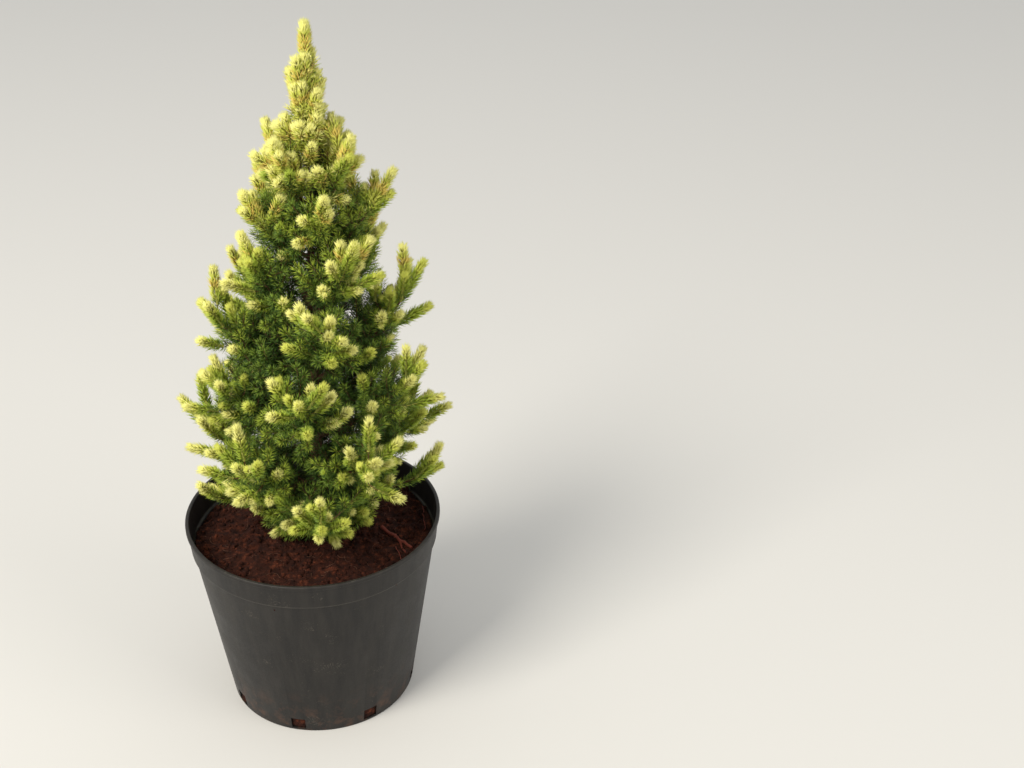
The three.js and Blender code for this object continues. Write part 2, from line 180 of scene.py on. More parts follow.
def chance(*keys: int) -> float:
    """Deals a repeatable number, as the part's own plan does.

    Args:
        keys: whole numbers that stand for what is dealt.

    Returns:
        A number from 0 to 1.
    """
    value = SEED
    for key in keys:
        value = ((value ^ (key + 0x9E37)) * 0x85EBCA6B) & 0xFFFFFFFF
        value ^= value >> 13
        value = (value * 0xC2B2AE35) & 0xFFFFFFFF
        value ^= value >> 16
    return value / 2**32


def mesh_from(name: str, points: Array, faces: list, smooth: bool = True) -> Mesh:
    """Makes a mesh from points in millimetres.

    Args:
        name: the mesh's name.
        points: one row for each vertex.
        faces: vertex numbers of each face.
        smooth: whether its faces are shaded smooth.

    Returns:
        The mesh, in metres.
    """
    mesh = bpy.data.meshes.new(name)
    mesh.from_pydata((np.asarray(points) * MM).tolist(), [], faces)
    if smooth:
        mesh.shade_smooth()
    mesh.update()
    return mesh


def link_object(name: str, mesh: Mesh) -> Object:
    """Adds a mesh to the scene.

    Args:
        name: the object's name.
        mesh: its mesh.

    Returns:
        The new object.
    """
    thing = bpy.data.objects.new(name, mesh)
    bpy.context.scene.collection.objects.link(thing)
    return thing


def bake_nodes(name: str, base: Mesh, tree: NodeTree, values: dict[str, object]) -> Object:
    """Runs a geometry tree on a mesh and keeps what it makes as a plain mesh.

    Args:
        name: the piece's name.
        base: mesh that the tree starts from.
        tree: the geometry tree.
        values: values of the tree's own inputs, by name.

    Returns:
        The piece, with no modifier left on it.
    """
    carrier = link_object(name, base)
    modifier = carrier.modifiers.new("growth", "NODES")
    modifier.node_group = tree
    for socket in tree.interface.items_tree:
        if socket.in_out == "INPUT" and socket.name in values:
            modifier[socket.identifier] = values[socket.name]
    evaluated = carrier.evaluated_get(bpy.context.evaluated_depsgraph_get())
    made = bpy.data.meshes.new_from_object(evaluated)
    carrier.modifiers.remove(modifier)
    carrier.data = made
    made.name = name
    return carrier


def new_geometry_tree(
    name: str, inputs: dict[str, tuple[str, object]]
) -> tuple[NodeTree, Node, Node]:
    """Starts a geometry tree with named inputs.

    Args:
        name: the tree's name.
        inputs: socket type and default value of each input after the geometry, by name.

    Returns:
        The tree, its input node and its output node.
    """
    tree = bpy.data.node_groups.new(name, "GeometryNodeTree")
    tree.interface.new_socket("Geometry", in_out="INPUT", socket_type="NodeSocketGeometry")
    tree.interface.new_socket("Geometry", in_out="OUTPUT", socket_type="NodeSocketGeometry")
    for label, (kind, value) in inputs.items():
        socket = tree.interface.new_socket(label, in_out="INPUT", socket_type=kind)
        if value is not None:
            socket.default_value = value
    return tree, add_node(tree, "NodeGroupInput"), add_node(tree, "NodeGroupOutput")


def finish_tree(tree: NodeTree, made: Node, material: NodeSocket, out: Node) -> None:
    """Ends a geometry tree: instances made real, shaded smooth and given their material.

    Args:
        tree: the tree.
        made: the node that makes its geometry.
        material: its input for the finish.
        out: its output node.
    """
    real = add_node(tree, "GeometryNodeRealizeInstances", {"Geometry": made})
    smooth = add_node(tree, "GeometryNodeSetShadeSmooth", {"Geometry": real})
    dressed = add_node(tree, "GeometryNodeSetMaterial", {"Geometry": smooth, "Material": material})
    set_inputs(tree, out, {0: dressed})


def keep_piece(
    piece: Object, replaced: list[str], material: Material | None = None
) -> None:
    """Hands a finished piece to the frame.

    Args:
        piece: the finished object.
        replaced: nodes of the frame that it stands for.
        material: its finish, where its mesh has none yet.
    """
    if material:
        piece.data.materials.clear()
        piece.data.materials.append(material)
    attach(piece, BODY)
    if replaced:
        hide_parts(*replaced)
    piece.data.calc_loop_triangles()
    log.info("%-26s %7d triangles", piece.name, len(piece.data.loop_triangles))


class Tint(Enum):
    """Needle colours: plain name and sRGB hex."""

    DEEP = ("deep_green", "#2d3f10")
    MID = ("leaf_green", "#4a6822")
    FRESH = ("fresh_green", "#7c9534")
    LIME = ("lime", "#a4b53c")
    GOLD = ("gold", "#dfc864")
    LEMON = ("lemon", "#cfd35c")
    CREAM = ("cream", "#eae78a")


@dataclass(frozen=True)
class WaxySpruceNeedle:
    """Living spruce needle under thin wax: a soft shine over its plain leaf colour."""

    tint: Tint
    roughness: float = 0.5
    specular: float = 0.35

    def material(self) -> Material:
        """Makes the finish of one tint.

        Returns:
            The new material.
        """
        label, code = self.tint.value
        material, tree, shader = new_surface(f"waxy_spruce_needle_{label}")
        looks = {"Base Color": linear(code), "Roughness": self.roughness}
        looks["Specular IOR Level"] = self.specular
        set_inputs(tree, shader, looks)
        return material


@dataclass(frozen=True)
class GrainyFinish:
    """Matt natural surface whose one grain both tints it and raises it."""

    name: str
    shades: tuple
    grain_mm: float
    relief_mm: float
    # How the grain is squeezed along each axis, how finely it breaks up and how sharply
    squeeze: tuple = (1.0, 1.0, 1.0)
    detail: float = 9.0
    broken: float = 0.75
    bump: float = 1.0
    roughness: float = 0.95
    specular: float = 0.2

    def material(self) -> Material:
        """Makes the finish.

        Returns:
            The new material.
        """
        material, tree, shader = new_surface(self.name)
        place = add_node(tree, "ShaderNodeTexCoord").outputs["Object"]
        drawn = add_node(tree, "ShaderNodeMapping", {"Vector": place, "Scale": self.squeeze})
        pattern = {"Vector": drawn, "Scale": 1 / (self.grain_mm * MM)}
        pattern |= {"Detail": self.detail, "Roughness": self.broken}
        grain = add_node(tree, "ShaderNodeTexNoise", pattern).outputs["Fac"]
        raised = {"Height": grain, "Strength": self.bump, "Distance": self.relief_mm * MM}
        looks = {
            "Base Color": add_node(tree, "ShaderNodeValToRGB", {"Fac": grain}, stops=self.shades),
            "Normal": add_node(tree, "ShaderNodeBump", raised),
            "Roughness": self.roughness,
            "Specular IOR Level": self.specular,
        }
        set_inputs(tree, shader, looks)
        return material


@dataclass(frozen=True)
class SpruceBark(GrainyFinish):
    """Thin scaly spruce bark: matt flakes of brown, about 3 mm wide and twice as tall, with
    redder wood in the cracks between."""

    name: str = "scaly_spruce_bark"
    shades: tuple = ((0.3, "#3a241a"), (0.5, "#6b4a36"), (0.72, "#94755a"))
    grain_mm: float = 3.2
    relief_mm: float = 0.5
    squeeze: tuple = (1.0, 1.0, 0.5)
    detail: float = 6.0
    broken: float = 0.68
    bump: float = 0.8
    roughness: float = 0.88
    specular: float = 0.5


@dataclass(frozen=True)
class PeatCompost(GrainyFinish):
    """Loose damp peat compost: matt, dark red-brown, with darker damp hollows and paler crumbs.

    Peat's own grain of under 1 mm is too fine to show in the render, so the pattern starts from
    clots of 8 mm and breaks up from there.
    """

    name: str = "loose_peat_compost"
    shades: tuple = ((0.33, "#130704"), (0.53, "#34170d"), (0.71, "#6b3722"))
    grain_mm: float = 8.0
    relief_mm: float = 1.4


@dataclass(frozen=True)
class MouldedPolypropylene:
    """Injection-moulded polypropylene: dark grey, satin, faintly streaked up the wall, with pale
    scuffs, a film of dried soil low down, and painted highlight lines under the collar and along
    the top of the lip.

    The mould's own grain of about 0.2 mm is too fine to show in the render, so it is drawn at
    0.9 mm.
    """

    body: tuple = ((0.36, "#181615"), (0.66, "#25221f"))
    scuff_and_highlight: str = "#7b7569"
    soil: str = "#553a2b"
    specular: float = 0.32
    # Patterns, each with its size in mm and its detail. The streaks are drawn out upwards, and
    # specks and patches together make the scuffs.
    squeeze: tuple = (1.0, 1.0, 0.07)
    broken: float = 0.65
    streaks: tuple = (11.0, 3.0)
    specks: tuple = (1.6, 4.0)
    patches: tuple = (30.0, 5.0)
    splashes: tuple = (16.0, 8.0)
    grain: tuple = (0.9, 2.0)
    grain_depth_mm: float = 0.2
    grain_bump: float = 0.12
    # Where a mark comes in on its pattern or on the height in metres: from least to most of that,
    # and from what to what the mark's share or the roughness goes
    scuff_range: tuple = (0.33, 0.45, 0.0, 0.3)
    splash_range: tuple = (0.5, 0.66, 0.0, 1.0)
    soil_range: tuple = (0.0, 0.06, 0.75, 0.0)
    rough_range: tuple = (0.1, 0.42, 0.42, 0.6)
    # Painted highlight lines, where light catches the collar's lower edge and the top of the lip,
    # as shares of the span upwards
    highlight_span: float = 0.25
    # Stops of the painted highlight lines, pale where the collar's edge and the lip's top catch the
    # light
    edges: tuple = (
        (0.727, "#000000"),
        (0.735, "#b0b0b0"),
        (0.743, "#000000"),
        (0.838, "#000000"),
        (0.846, "#505050"),
    )

    def material(self) -> Material:
        """Makes the finish.

        Returns:
            The new material.
        """
        material, tree, shader = new_surface("moulded_polypropylene_dark_grey")
        place = add_node(tree, "ShaderNodeTexCoord").outputs["Object"]
        drawn = add_node(tree, "ShaderNodeMapping", {"Vector": place, "Scale": self.squeeze})
        streak, speck, patch, splash, grain = [
            add_node(
                tree,
                "ShaderNodeTexNoise",
                {"Vector": at, "Scale": 1 / (size * MM), "Detail": fine, "Roughness": self.broken},
            ).outputs["Fac"]
            for at, (size, fine) in (
                (drawn, self.streaks),
                (place, self.specks),
                (place, self.patches),
                (place, self.splashes),
                (place, self.grain),
            )
        ]
        height = add_node(tree, "ShaderNodeSeparateXYZ", {0: place}).outputs["Z"]
        up = add_node(tree, "ShaderNodeMath", {0: height, 1: self.highlight_span}, operation="DIVIDE")
        # Painted highlight lines by height, at the collar's lower edge and along the lip's top
        edge = add_node(tree, "ShaderNodeValToRGB", {"Fac": up}, stops=self.edges)
        worn = add_node(tree, "ShaderNodeMath", {0: speck, 1: patch}, operation="MULTIPLY")
        # The node's first five inputs are the value and the four ends of its two ranges
        scuffs, marks, low, rough = [
            add_node(tree, "ShaderNodeMapRange", dict(enumerate((value, *ends))))
            for value, ends in (
                (worn, self.scuff_range),
                (splash, self.splash_range),
                (height, self.soil_range),
                (worn, self.rough_range),
            )
        ]
        # bare is the painted highlight lines, broken up by the patches, and soiled is the soil
        # splashes low down
        bare, soiled = [
            add_node(tree, "ShaderNodeMath", {0: a, 1: b}, operation="MULTIPLY")
            for a, b in ((edge, patch), (marks, low))
        ]
        paint = add_node(tree, "ShaderNodeValToRGB", {"Fac": streak}, stops=self.body).outputs[0]
        # Scuffs, painted highlight lines and soil laid over the streaked body
        for share, code in ((scuffs, self.scuff_and_highlight), (bare, self.scuff_and_highlight), (soiled, self.soil)):
            paint = add_node(
                tree, "ShaderNodeMix", {0: share, 6: paint, 7: linear(code)}, data_type="RGBA"
            ).outputs[2]
        depth = self.grain_depth_mm * MM
        raised = {"Height": grain, "Strength": self.grain_bump, "Distance": depth}
        looks = {
            "Base Color": paint,
            "Normal": add_node(tree, "ShaderNodeBump", raised),
            "Roughness": rough,
            "Specular IOR Level": self.specular,
        }
        set_inputs(tree, shader, looks)
        return material


@dataclass(frozen=True)
class PlainMatt:
    """Even matt surface of one colour, for thin young stems, dry stalks and the studio floor."""

    name: str
    code: str
    roughness: float = 0.8

    def material(self) -> Material:
        """Makes the finish.

        Returns:
            The new material.
        """
        material, tree, shader = new_surface(self.name)
        set_inputs(tree, shader, {"Base Color": linear(self.code), "Roughness": self.roughness})
        return material


def rounded(corners: list[tuple[float, float, float]], steps: int = 4) -> Array:
    """Rounds the corners of an open outline.

    Args:
        corners: radius and height of each corner, then the size of its rounding.
        steps: straight pieces in each rounding.

    Returns:
        Radius and height of each point of the outline.
    """
    out = []
    for i, (r, z, size) in enumerate(corners):
        here = np.array([r, z])
        if size == 0 or i in (0, len(corners) - 1):
            out.append(here)
            continue
        back = unit(np.array(corners[i - 1][:2]) - here) * size
        on = unit(np.array(corners[i + 1][:2]) - here) * size
        for step in range(steps + 1):
            s = step / steps
            out.append(here + back * (1 - s) ** 2 + on * s**2)
    return np.array(out)


def revolve(outline: Array, sides: int) -> tuple[Array, list]:
    """Turns an outline round the plant's upright line.

    Args:
        outline: radius and height of each point, from the axis underneath to the axis on top.
        sides: faces round it.

    Returns:
        Points and faces of the closed shape, outside outwards.
    """
    angles = np.linspace(0, 2 * math.pi, sides, endpoint=False)
    ring = np.stack([np.cos(angles), np.sin(angles)], 1)
    inner = outline[1:-1]
    points = [np.array([[0, 0, outline[0][1]]])]
    points += [np.column_stack([ring * r, np.full(sides, z)]) for r, z in inner]
    points.append(np.array([[0, 0, outline[-1][1]]]))
    last = 1 + sides * len(inner)
    faces = []
    for k in range(sides):
        j = (k + 1) % sides
        faces.append((0, 1 + j, 1 + k))
        for band in range(len(inner) - 1):
            low, high = 1 + band * sides, 1 + (band + 1) * sides
            faces.append((low + k, low + j, high + j, high + k))
        faces.append((last, last - sides + k, last - sides + j))
    return np.concatenate(points), faces


@dataclass
class NurseryPot:
    """Moulded nursery pot: tapered wall, deeper collar, thin lip, and slots through its foot."""

    height: float
    rim_radius: float
    base_radius: float = 97.0
    shoulder_radius: float = 124.0
    wall: float = 2.0
    floor: float = 3.0
    collar_depth: float = 29.0
    collar_step: float = 2.2
    collar_rise: float = 1.5
    lip_depth: float = 5.0
    lip_proud: float = 1.6
    lip_rise: float = 1.0
    slots: int = 8
    slot_width: float = 15.0
    slot_height: float = 17.0
    slot_depth: float = 16.0
    first_slot: float = 261.0
    sides: int = 240
    # Rounding of each edge, from the middle underneath, up the outside and down the inside
    roundings: tuple = (0, 1.4, 0.7, 0.8, 0.5, 0.5, 1.3, 1.2, 0.6, 0.6, 2.0, 0)
    sharp_angle: float = 40.0

    @property
    def shoulder(self) -> float:
        """Height at which the collar starts."""
        return self.height - self.collar_depth

    def inner_radius(self, z: float) -> float:
        """Radius inside the tapered wall at a height."""
        slope = (self.shoulder_radius - self.base_radius) / self.shoulder
        return self.base_radius + slope * z - self.wall

    def outline(self) -> Array:
        """Draws the wall's section, its edges rounded as moulded.

        Returns:
            Radius and height of each point, from the middle underneath to the middle inside.
        """
        collar = self.rim_radius - self.lip_proud
        under_lip = self.height - self.lip_depth
        stepped = self.shoulder_radius + self.collar_step
        corners = [
            (0, 0),
            (self.base_radius, 0),
            (self.shoulder_radius, self.shoulder),
            (stepped, self.shoulder + self.collar_rise),
            (collar, under_lip),
            (self.rim_radius, under_lip + self.lip_rise),
            (self.rim_radius, self.height),
            (collar - self.wall, self.height),
            (stepped - self.wall, self.shoulder + self.collar_rise),
            (self.inner_radius(self.shoulder), self.shoulder - self.lip_rise),
            (self.inner_radius(self.floor), self.floor),
            (0, self.floor),
        ]
        return rounded([(*corner, size) for corner, size in zip(corners, self.roundings)])

    def slot_cutter(self) -> Object:
        """Makes the blocks that cut the drainage slots.

        Returns:
            All the blocks, in one object.
        """
        points, faces = [], []
        corners = [(x, y, z) for x in (-1, 1) for y in (-1, 1) for z in (0, 1)]
        sides = [(0, 1, 3, 2), (4, 6, 7, 5), (0, 4, 5, 1), (2, 3, 7, 6), (0, 2, 6, 4), (1, 5, 7, 3)]
        for number in range(self.slots):
            turn = self.first_slot + 360 * number / self.slots
            out, across = outwards(turn), outwards(turn + 90)
            first = len(points)
            for x, y, z in corners:
                place = out * (self.base_radius + x * self.slot_depth / 2)
                place = place + across * (y * self.slot_width / 2)
                points.append(place + UP * mix(self.floor, self.slot_height, z))
            faces += [tuple(first + corner for corner in side) for side in sides]
        return link_object("slot_cutter", mesh_from("slot_cutter", np.array(points), faces, False))

    def build(self) -> None:
        """Makes and dresses the pot."""
        points, faces = revolve(self.outline(), self.sides)
        pot = link_object("moulded_pot", mesh_from("moulded_pot", points, faces))
        cutter = self.slot_cutter()
        cut = pot.modifiers.new("slots", "BOOLEAN")
        cut.object, cut.operation, cut.solver = cutter, "DIFFERENCE", "EXACT"
        evaluated = pot.evaluated_get(bpy.context.evaluated_depsgraph_get())
        made = bpy.data.meshes.new_from_object(evaluated)
        pot.modifiers.remove(cut)
        pot.data = made
        bpy.data.objects.remove(cutter)
        made.set_sharp_from_angle(angle=math.radians(self.sharp_angle))
        keep_piece(pot, ["pot"], MouldedPolypropylene().material())


@dataclass
class Compost:
    """Peat compost that fills the pot, with loose crumbs and fibres on top."""

    pot: NurseryPot
    edge: float = 183.0
    crest: float = 188.0
    flat: float = 15.0
    gap: float = 0.45
    sides: int = 240
    rings: int = 58
    # How the dome's fall steepens outwards, its dip round the trunk and how soon that is full
    fall: float = 1.5
    dip: float = 1.4
    dip_rate: float = 8.0
    # Lumps, each with its size and height. They start this calm at the trunk and grow outwards.
    lumps: tuple = ((34.0, 4.6), (14.0, 4.2), (6.0, 2.2), (2.4, 0.9))
    calm: float = 0.3
    calm_rate: float = 3.0
    # Heights of the rings down the side, and how many more pass the slots
    side_heights: tuple = (170, 120, 60, 30)
    slot_rings: int = 12
    # Soil in a slot: room at its edges, how far it stands out, how rough it is, and the size of
    # that roughness in degrees round the pot and in mm up it
    slot_room: float = 0.6
    slot_bulge: float = 1.0
    slot_relief: float = 0.9
    slot_grain: tuple = (2.2, 2.5)
    crumb_density: float = 62000.0
    crumb_small: float = 0.3
    crumb_large: float = 3.9
    # The more skewed, the fewer crumbs are large. Then a crumb's own lumps, its narrowest and
    # widest proportions, its turn in radians, and a seed for the proportions and for the turn.
    crumb_skew: float = 3.0
    crumb_lumps: float = 0.9
    crumb_narrow: tuple = (0.7, 0.7, 0.5)
    crumb_wide: tuple = (1.4, 1.1, 0.9)
    crumb_turn: float = 6.28
    crumb_seeds: tuple = (3, 5)
    # Fibres: how many, how far from the wall, then least and most length and height over the
    # soil, how much they bend, and their radius at each end
    fibres: int = 110
    fibre_room: float = 6.0
    fibre_length: tuple = (5, 17)
    fibre_lift: tuple = (0.2, 1.4)
    fibre_bend: float = 60.0
    fibre_girth: tuple = (0.3, 0.12)
    fibre_points: int = 5
    fibre_sides: int = 3
    # Share of the top's area, round the trunk, where no fibre's middle lies
    bare_middle: float = 0.02
    # Fallen bits on the top: both ends, how high they lie and how thick they are
    litter: tuple = (
        ((68, 6), (103, -26), 1.8, 2.3),
        ((84, -4), (97, -36), 1.4, 1.4),
        ((109, 45), (114, 5), 4.0, 0.5),
        ((85, -23), (95, -47), 2.0, 0.5),
    )
    litter_sway: float = 0.8
    litter_taper: float = 0.6
    litter_points: int = 9
    litter_sides: int = 6

    def height_at(self, x: float, y: float) -> float:
        """Height of the lumpy dome over a place.

        Args:
            x: the place's X.
            y: the place's Y.

        Returns:
            The height over the ground.
        """
        reach = self.pot.inner_radius(self.edge)
        share = max(0.0, (math.hypot(x, y) - self.flat) / (reach - self.flat))
        z = mix(self.crest, self.edge, share**self.fall) - self.dip * min(1, share * self.dip_rate)
        fade = min(1.0, share * self.calm_rate + self.calm)
        for size, depth in self.lumps:
            z += fade * depth * noise.noise(Vector((x / size, y / size, size)))
        return z

    def build(self) -> None:
        """Makes and dresses the compost, its crumbs and its fibres."""
        finish = PeatCompost().material()
        top, faces = self.surface()
        keep_piece(self.fill(top, faces), ["compost"], finish)
        surface = mesh_from("crumbs", top, faces)
        crumbs = bake_nodes(
            "compost_crumbs", surface, self.crumb_tree(), {"Material": finish, "Seed": SEED}
        )
        keep_piece(crumbs, [])
        self.lay_fibres()

    def surface(self) -> tuple[Array, list]:
        """Lays out the top, in rings from the middle out.

        Returns:
            Its points and faces.
        """
        reach = self.pot.inner_radius(self.edge) - self.gap
        angles = np.linspace(0, 2 * math.pi, self.sides, endpoint=False)
        points = [(0.0, 0.0, self.height_at(0, 0))]
        for ring in range(1, self.rings + 1):
            radius = reach * ring / self.rings
            for angle in angles:
                x, y = radius * math.cos(angle), radius * math.sin(angle)
                points.append((x, y, self.height_at(x, y)))
        faces = []
        for k in range(self.sides):
            j = (k + 1) % self.sides
            faces.append((0, 1 + k, 1 + j))
            for ring in range(self.rings - 1):
                near, far = 1 + ring * self.sides, 1 + (ring + 1) * self.sides
                faces.append((near + k, far + k, far + j, near + j))
        return np.array(points), faces

    def fill(self, top: Array, top_faces: list) -> Object:
        """Closes the top down to the pot's floor, with soil that bulges into the slots.

        Args:
            top: points of the top.
            top_faces: its faces.

        Returns:
            The closed fill.
        """
        points, faces = list(map(tuple, top)), list(top_faces)
        pot = self.pot
        low, high = pot.floor + self.gap, pot.slot_height + 1
        heights = [*self.side_heights, *np.linspace(high, low, self.slot_rings)]
        above = 1 + (self.rings - 1) * self.sides
        for z in heights:
            here = len(points)
            for k in range(self.sides):
                angle = 360 * k / self.sides
                radius = pot.inner_radius(z) - self.gap + self.bulge(angle, z)
                points.append(tuple(outwards(angle) * radius + UP * z))
            for k in range(self.sides):
                j = (k + 1) % self.sides
                faces.append((above + k, here + k, here + j, above + j))
            above = here
        middle = len(points)
        points.append((0.0, 0.0, heights[-1]))
        faces += [(middle, above + (k + 1) % self.sides, above + k) for k in range(self.sides)]
        return link_object("peat_compost", mesh_from("peat_compost", np.array(points), faces))

    def bulge(self, angle: float, z: float) -> float:
        """Tells how far the soil stands out into a slot.

        Args:
            angle: angle round the pot.
            z: height over the ground.

        Returns:
            The bulge, nothing where the wall is whole.
        """
        pot = self.pot
        step = 360 / pot.slots
        off = abs((angle - pot.first_slot + step / 2) % step - step / 2)
        inside = math.radians(off) * pot.base_radius < pot.slot_width / 2 - self.slot_room
        if not inside or z > pot.slot_height - self.slot_room:
            return 0.0
        across, up = self.slot_grain
        return self.slot_bulge + self.slot_relief * noise.noise(Vector((angle / across, z / up, 1)))

    def crumb_tree(self) -> NodeTree:
        """Makes the geometry tree that scatters lumpy crumbs.

        Returns:
            The tree, for the surface that they lie on.
        """
        tree, given, out = new_geometry_tree(
            "peat_crumbs",
            {
                "Density": ("NodeSocketFloat", self.crumb_density),
                "Smallest": ("NodeSocketFloat", self.crumb_small * MM),
                "Largest": ("NodeSocketFloat", self.crumb_large * MM),
                "Seed": ("NodeSocketInt", SEED),
                "Material": ("NodeSocketMaterial", None),
            },
        )
        mesh, density, small, large, seed, material = given.outputs[:6]
        spots = add_node(
            tree,
            "GeometryNodeDistributePointsOnFaces",
            {"Mesh": mesh, "Density": density, "Seed": seed},
        )
        ball = add_node(tree, "GeometryNodeMeshIcoSphere", {"Radius": 1.0, "Subdivisions": 1})
        # The noise runs from 0 to 1, so half is taken off
        wobble = add_node(tree, "ShaderNodeTexNoise", {"Scale": self.crumb_lumps}).outputs["Color"]
        offset = add_node(
            tree, "ShaderNodeVectorMath", {0: wobble, 1: (-0.5, -0.5, -0.5)}, operation="ADD"
        )
        crumb = add_node(tree, "GeometryNodeSetPosition", {"Geometry": ball, "Offset": offset})
        random = add_node(tree, "FunctionNodeRandomValue", {"Seed": seed}).outputs[1]
        bias = {0: random, 1: self.crumb_skew}
        skewed = add_node(tree, "ShaderNodeMath", bias, operation="POWER")
        sizes = {"Value": skewed, "To Min": small, "To Max": large}
        size = add_node(tree, "ShaderNodeMapRange", sizes)
        proportions = (self.crumb_seeds[0], self.crumb_narrow, self.crumb_wide)
        turns = (self.crumb_seeds[1], (0.0, 0.0, 0.0), (self.crumb_turn,) * 3)
        uneven, turn = [
            add_node(
                tree,
                "FunctionNodeRandomValue",
                {0: least, 1: most, "Seed": own_seed},
                data_type="FLOAT_VECTOR",
            )
            for own_seed, least, most in (proportions, turns)
        ]
        scaling = {0: uneven, "Scale": size}
        scale = add_node(tree, "ShaderNodeVectorMath", scaling, operation="SCALE")
        crumbs = add_node(
            tree,
            "GeometryNodeInstanceOnPoints",
            {"Points": spots, "Instance": crumb, "Rotation": turn, "Scale": scale},
        )
        finish_tree(tree, crumbs, material, out)
        return tree

    def lay_fibres(self) -> None:
        """Lays thin peat fibres and fallen bits over the top."""
        dice = np.random.default_rng(SEED + 1)
        strands = Strands()
        reach = self.pot.inner_radius(self.edge) - self.fibre_room
        for _ in range(self.fibres):
            radius = reach * dice.uniform(self.bare_middle, 1) ** 0.5
            angle, heading = dice.uniform(0, 360, 2)
            length = dice.uniform(*self.fibre_length)
            place = outwards(angle) * radius
            path = []
            for share in np.linspace(-0.5, 0.5, self.fibre_points):
                x, y, _ = place + outwards(heading + self.fibre_bend * share) * length * share
                if math.hypot(x, y) < reach:
                    path.append((x, y, self.height_at(x, y) + dice.uniform(*self.fibre_lift)))
            if len(path) > 2:
                strands.add(np.array(path), *self.fibre_girth)
        fibre = PlainMatt("dry_peat_fibre", "#5d3a28").material()
        keep_piece(strands.build("peat_fibres", self.fibre_sides, fibre), [])
        fallen = Strands()
        steps = np.linspace(0, 1, self.litter_points)[:, None]
        for start, end, lift, girth in self.litter:
            sway = dice.uniform(-self.litter_sway, self.litter_sway, (len(steps), 2))
            path = mix(np.array(start), np.array(end), steps) + sway
            lying = np.array([(x, y, self.height_at(x, y) + lift) for x, y in path])
            fallen.add(lying, girth, girth * self.litter_taper)
        stalk = PlainMatt("dry_red_brown_stalk", "#6a2a1b").material()
        keep_piece(fallen.build("fallen_twigs", self.litter_sides, stalk), [])


@dataclass
class Strands:
    """Thin round strands, each along its own path, made as one mesh."""

    paths: list = field(default_factory=list)
    girths: list = field(default_factory=list)

    def add(self, path: Array, root: float, tip: float) -> None:
        """Adds a strand that tapers from its root radius to its tip radius."""
        self.paths.append(path)
        self.girths.append(np.linspace(root, tip, len(path)))

    def tree(self) -> NodeTree:
        """Makes the geometry tree of round strands.

        Returns:
            The tree, for their paths.
        """
        tree, given, out = new_geometry_tree(
            "round_strands",
            {"Sides": ("NodeSocketInt", 4), "Material": ("NodeSocketMaterial", None)},
        )
        paths, sides, material = given.outputs[:3]
        curve = add_node(tree, "GeometryNodeMeshToCurve", {"Mesh": paths})
        girth = add_node(
            tree, "GeometryNodeInputNamedAttribute", {"Name": "girth"}, data_type="FLOAT"
        )
        round_section = {"Resolution": sides, "Radius": 1.0}
        ring = add_node(tree, "GeometryNodeCurvePrimitiveCircle", round_section)
        made = add_node(
            tree,
            "GeometryNodeCurveToMesh",
            {"Curve": curve, "Profile Curve": ring, "Scale": girth, "Fill Caps": True},
        )
        finish_tree(tree, made, material, out)
        return tree

    def build(self, name: str, sides: int, material: Material) -> Object:
        """Makes the strands.

        Args:
            name: the piece's name.
            sides: faces round each strand.
            material: their finish.

        Returns:
            The piece.
        """
        ends = np.cumsum([len(path) for path in self.paths])
        steps = np.arange(ends[-1] - 1)
        edges = np.column_stack([steps, steps + 1])
        edges = np.delete(edges, ends[:-1] - 1, axis=0)
        base = bpy.data.meshes.new(name)
        base.from_pydata((np.concatenate(self.paths) * MM).tolist(), edges.tolist(), [])
        girth = base.attributes.new("girth", "FLOAT", "POINT")
        girth.data.foreach_set("value", np.concatenate(self.girths) * MM)
        return bake_nodes(name, base, self.tree(), {"Sides": sides, "Material": material})


@dataclass(frozen=True)
class Trunk:
    """The trunk's own plan: its line, lean, taper and root flare."""

    foot: float
    top: float
    gap: float = 0.3
    foot_x: float = 3.0
    lean: float = 1.9
    wander: float = 2.5
    wave: float = 260.0
    flare_radius: float = 13.0
    flare_height: float = 16.0
    radius: float = 7.5
    tip_radius: float = 1.8
    flare_fall: float = 3.0

    def axis(self, z: float) -> Array:
        """Finds the centre line of the trunk and of the whole crown.

        Args:
            z: height.

        Returns:
            The line's point at that height.
        """
        rise = z - self.foot + self.gap
        x = self.foot_x + rise * math.tan(math.radians(self.lean))
        return np.array([x, self.wander * math.sin(2 * math.pi * rise / self.wave), z])

    def girth(self, z: float) -> float:
        """Finds the trunk's radius.

        Args:
            z: height.

        Returns:
            The radius at that height.
        """
        share = min(max((z - self.foot) / (self.top - self.foot), 0), 1)
        flared = math.exp(-self.flare_fall * (z - self.foot) / self.flare_height)
        flare = (self.flare_radius - self.radius) * flared
        return mix(self.radius, self.tip_radius, share) + flare


@dataclass(frozen=True)
class Tier:
    """A ring of limbs: how many, the first one's turn, the tips' height and reach, how far the
    limbs rise to them, the radius of a mass's heart, its sprays, and the bough's share."""

    name: str
    count: int
    turn: float
    tip: float
    reach: float
    rise: float
    core: float
    sprays: int
    bough: float = 0.0


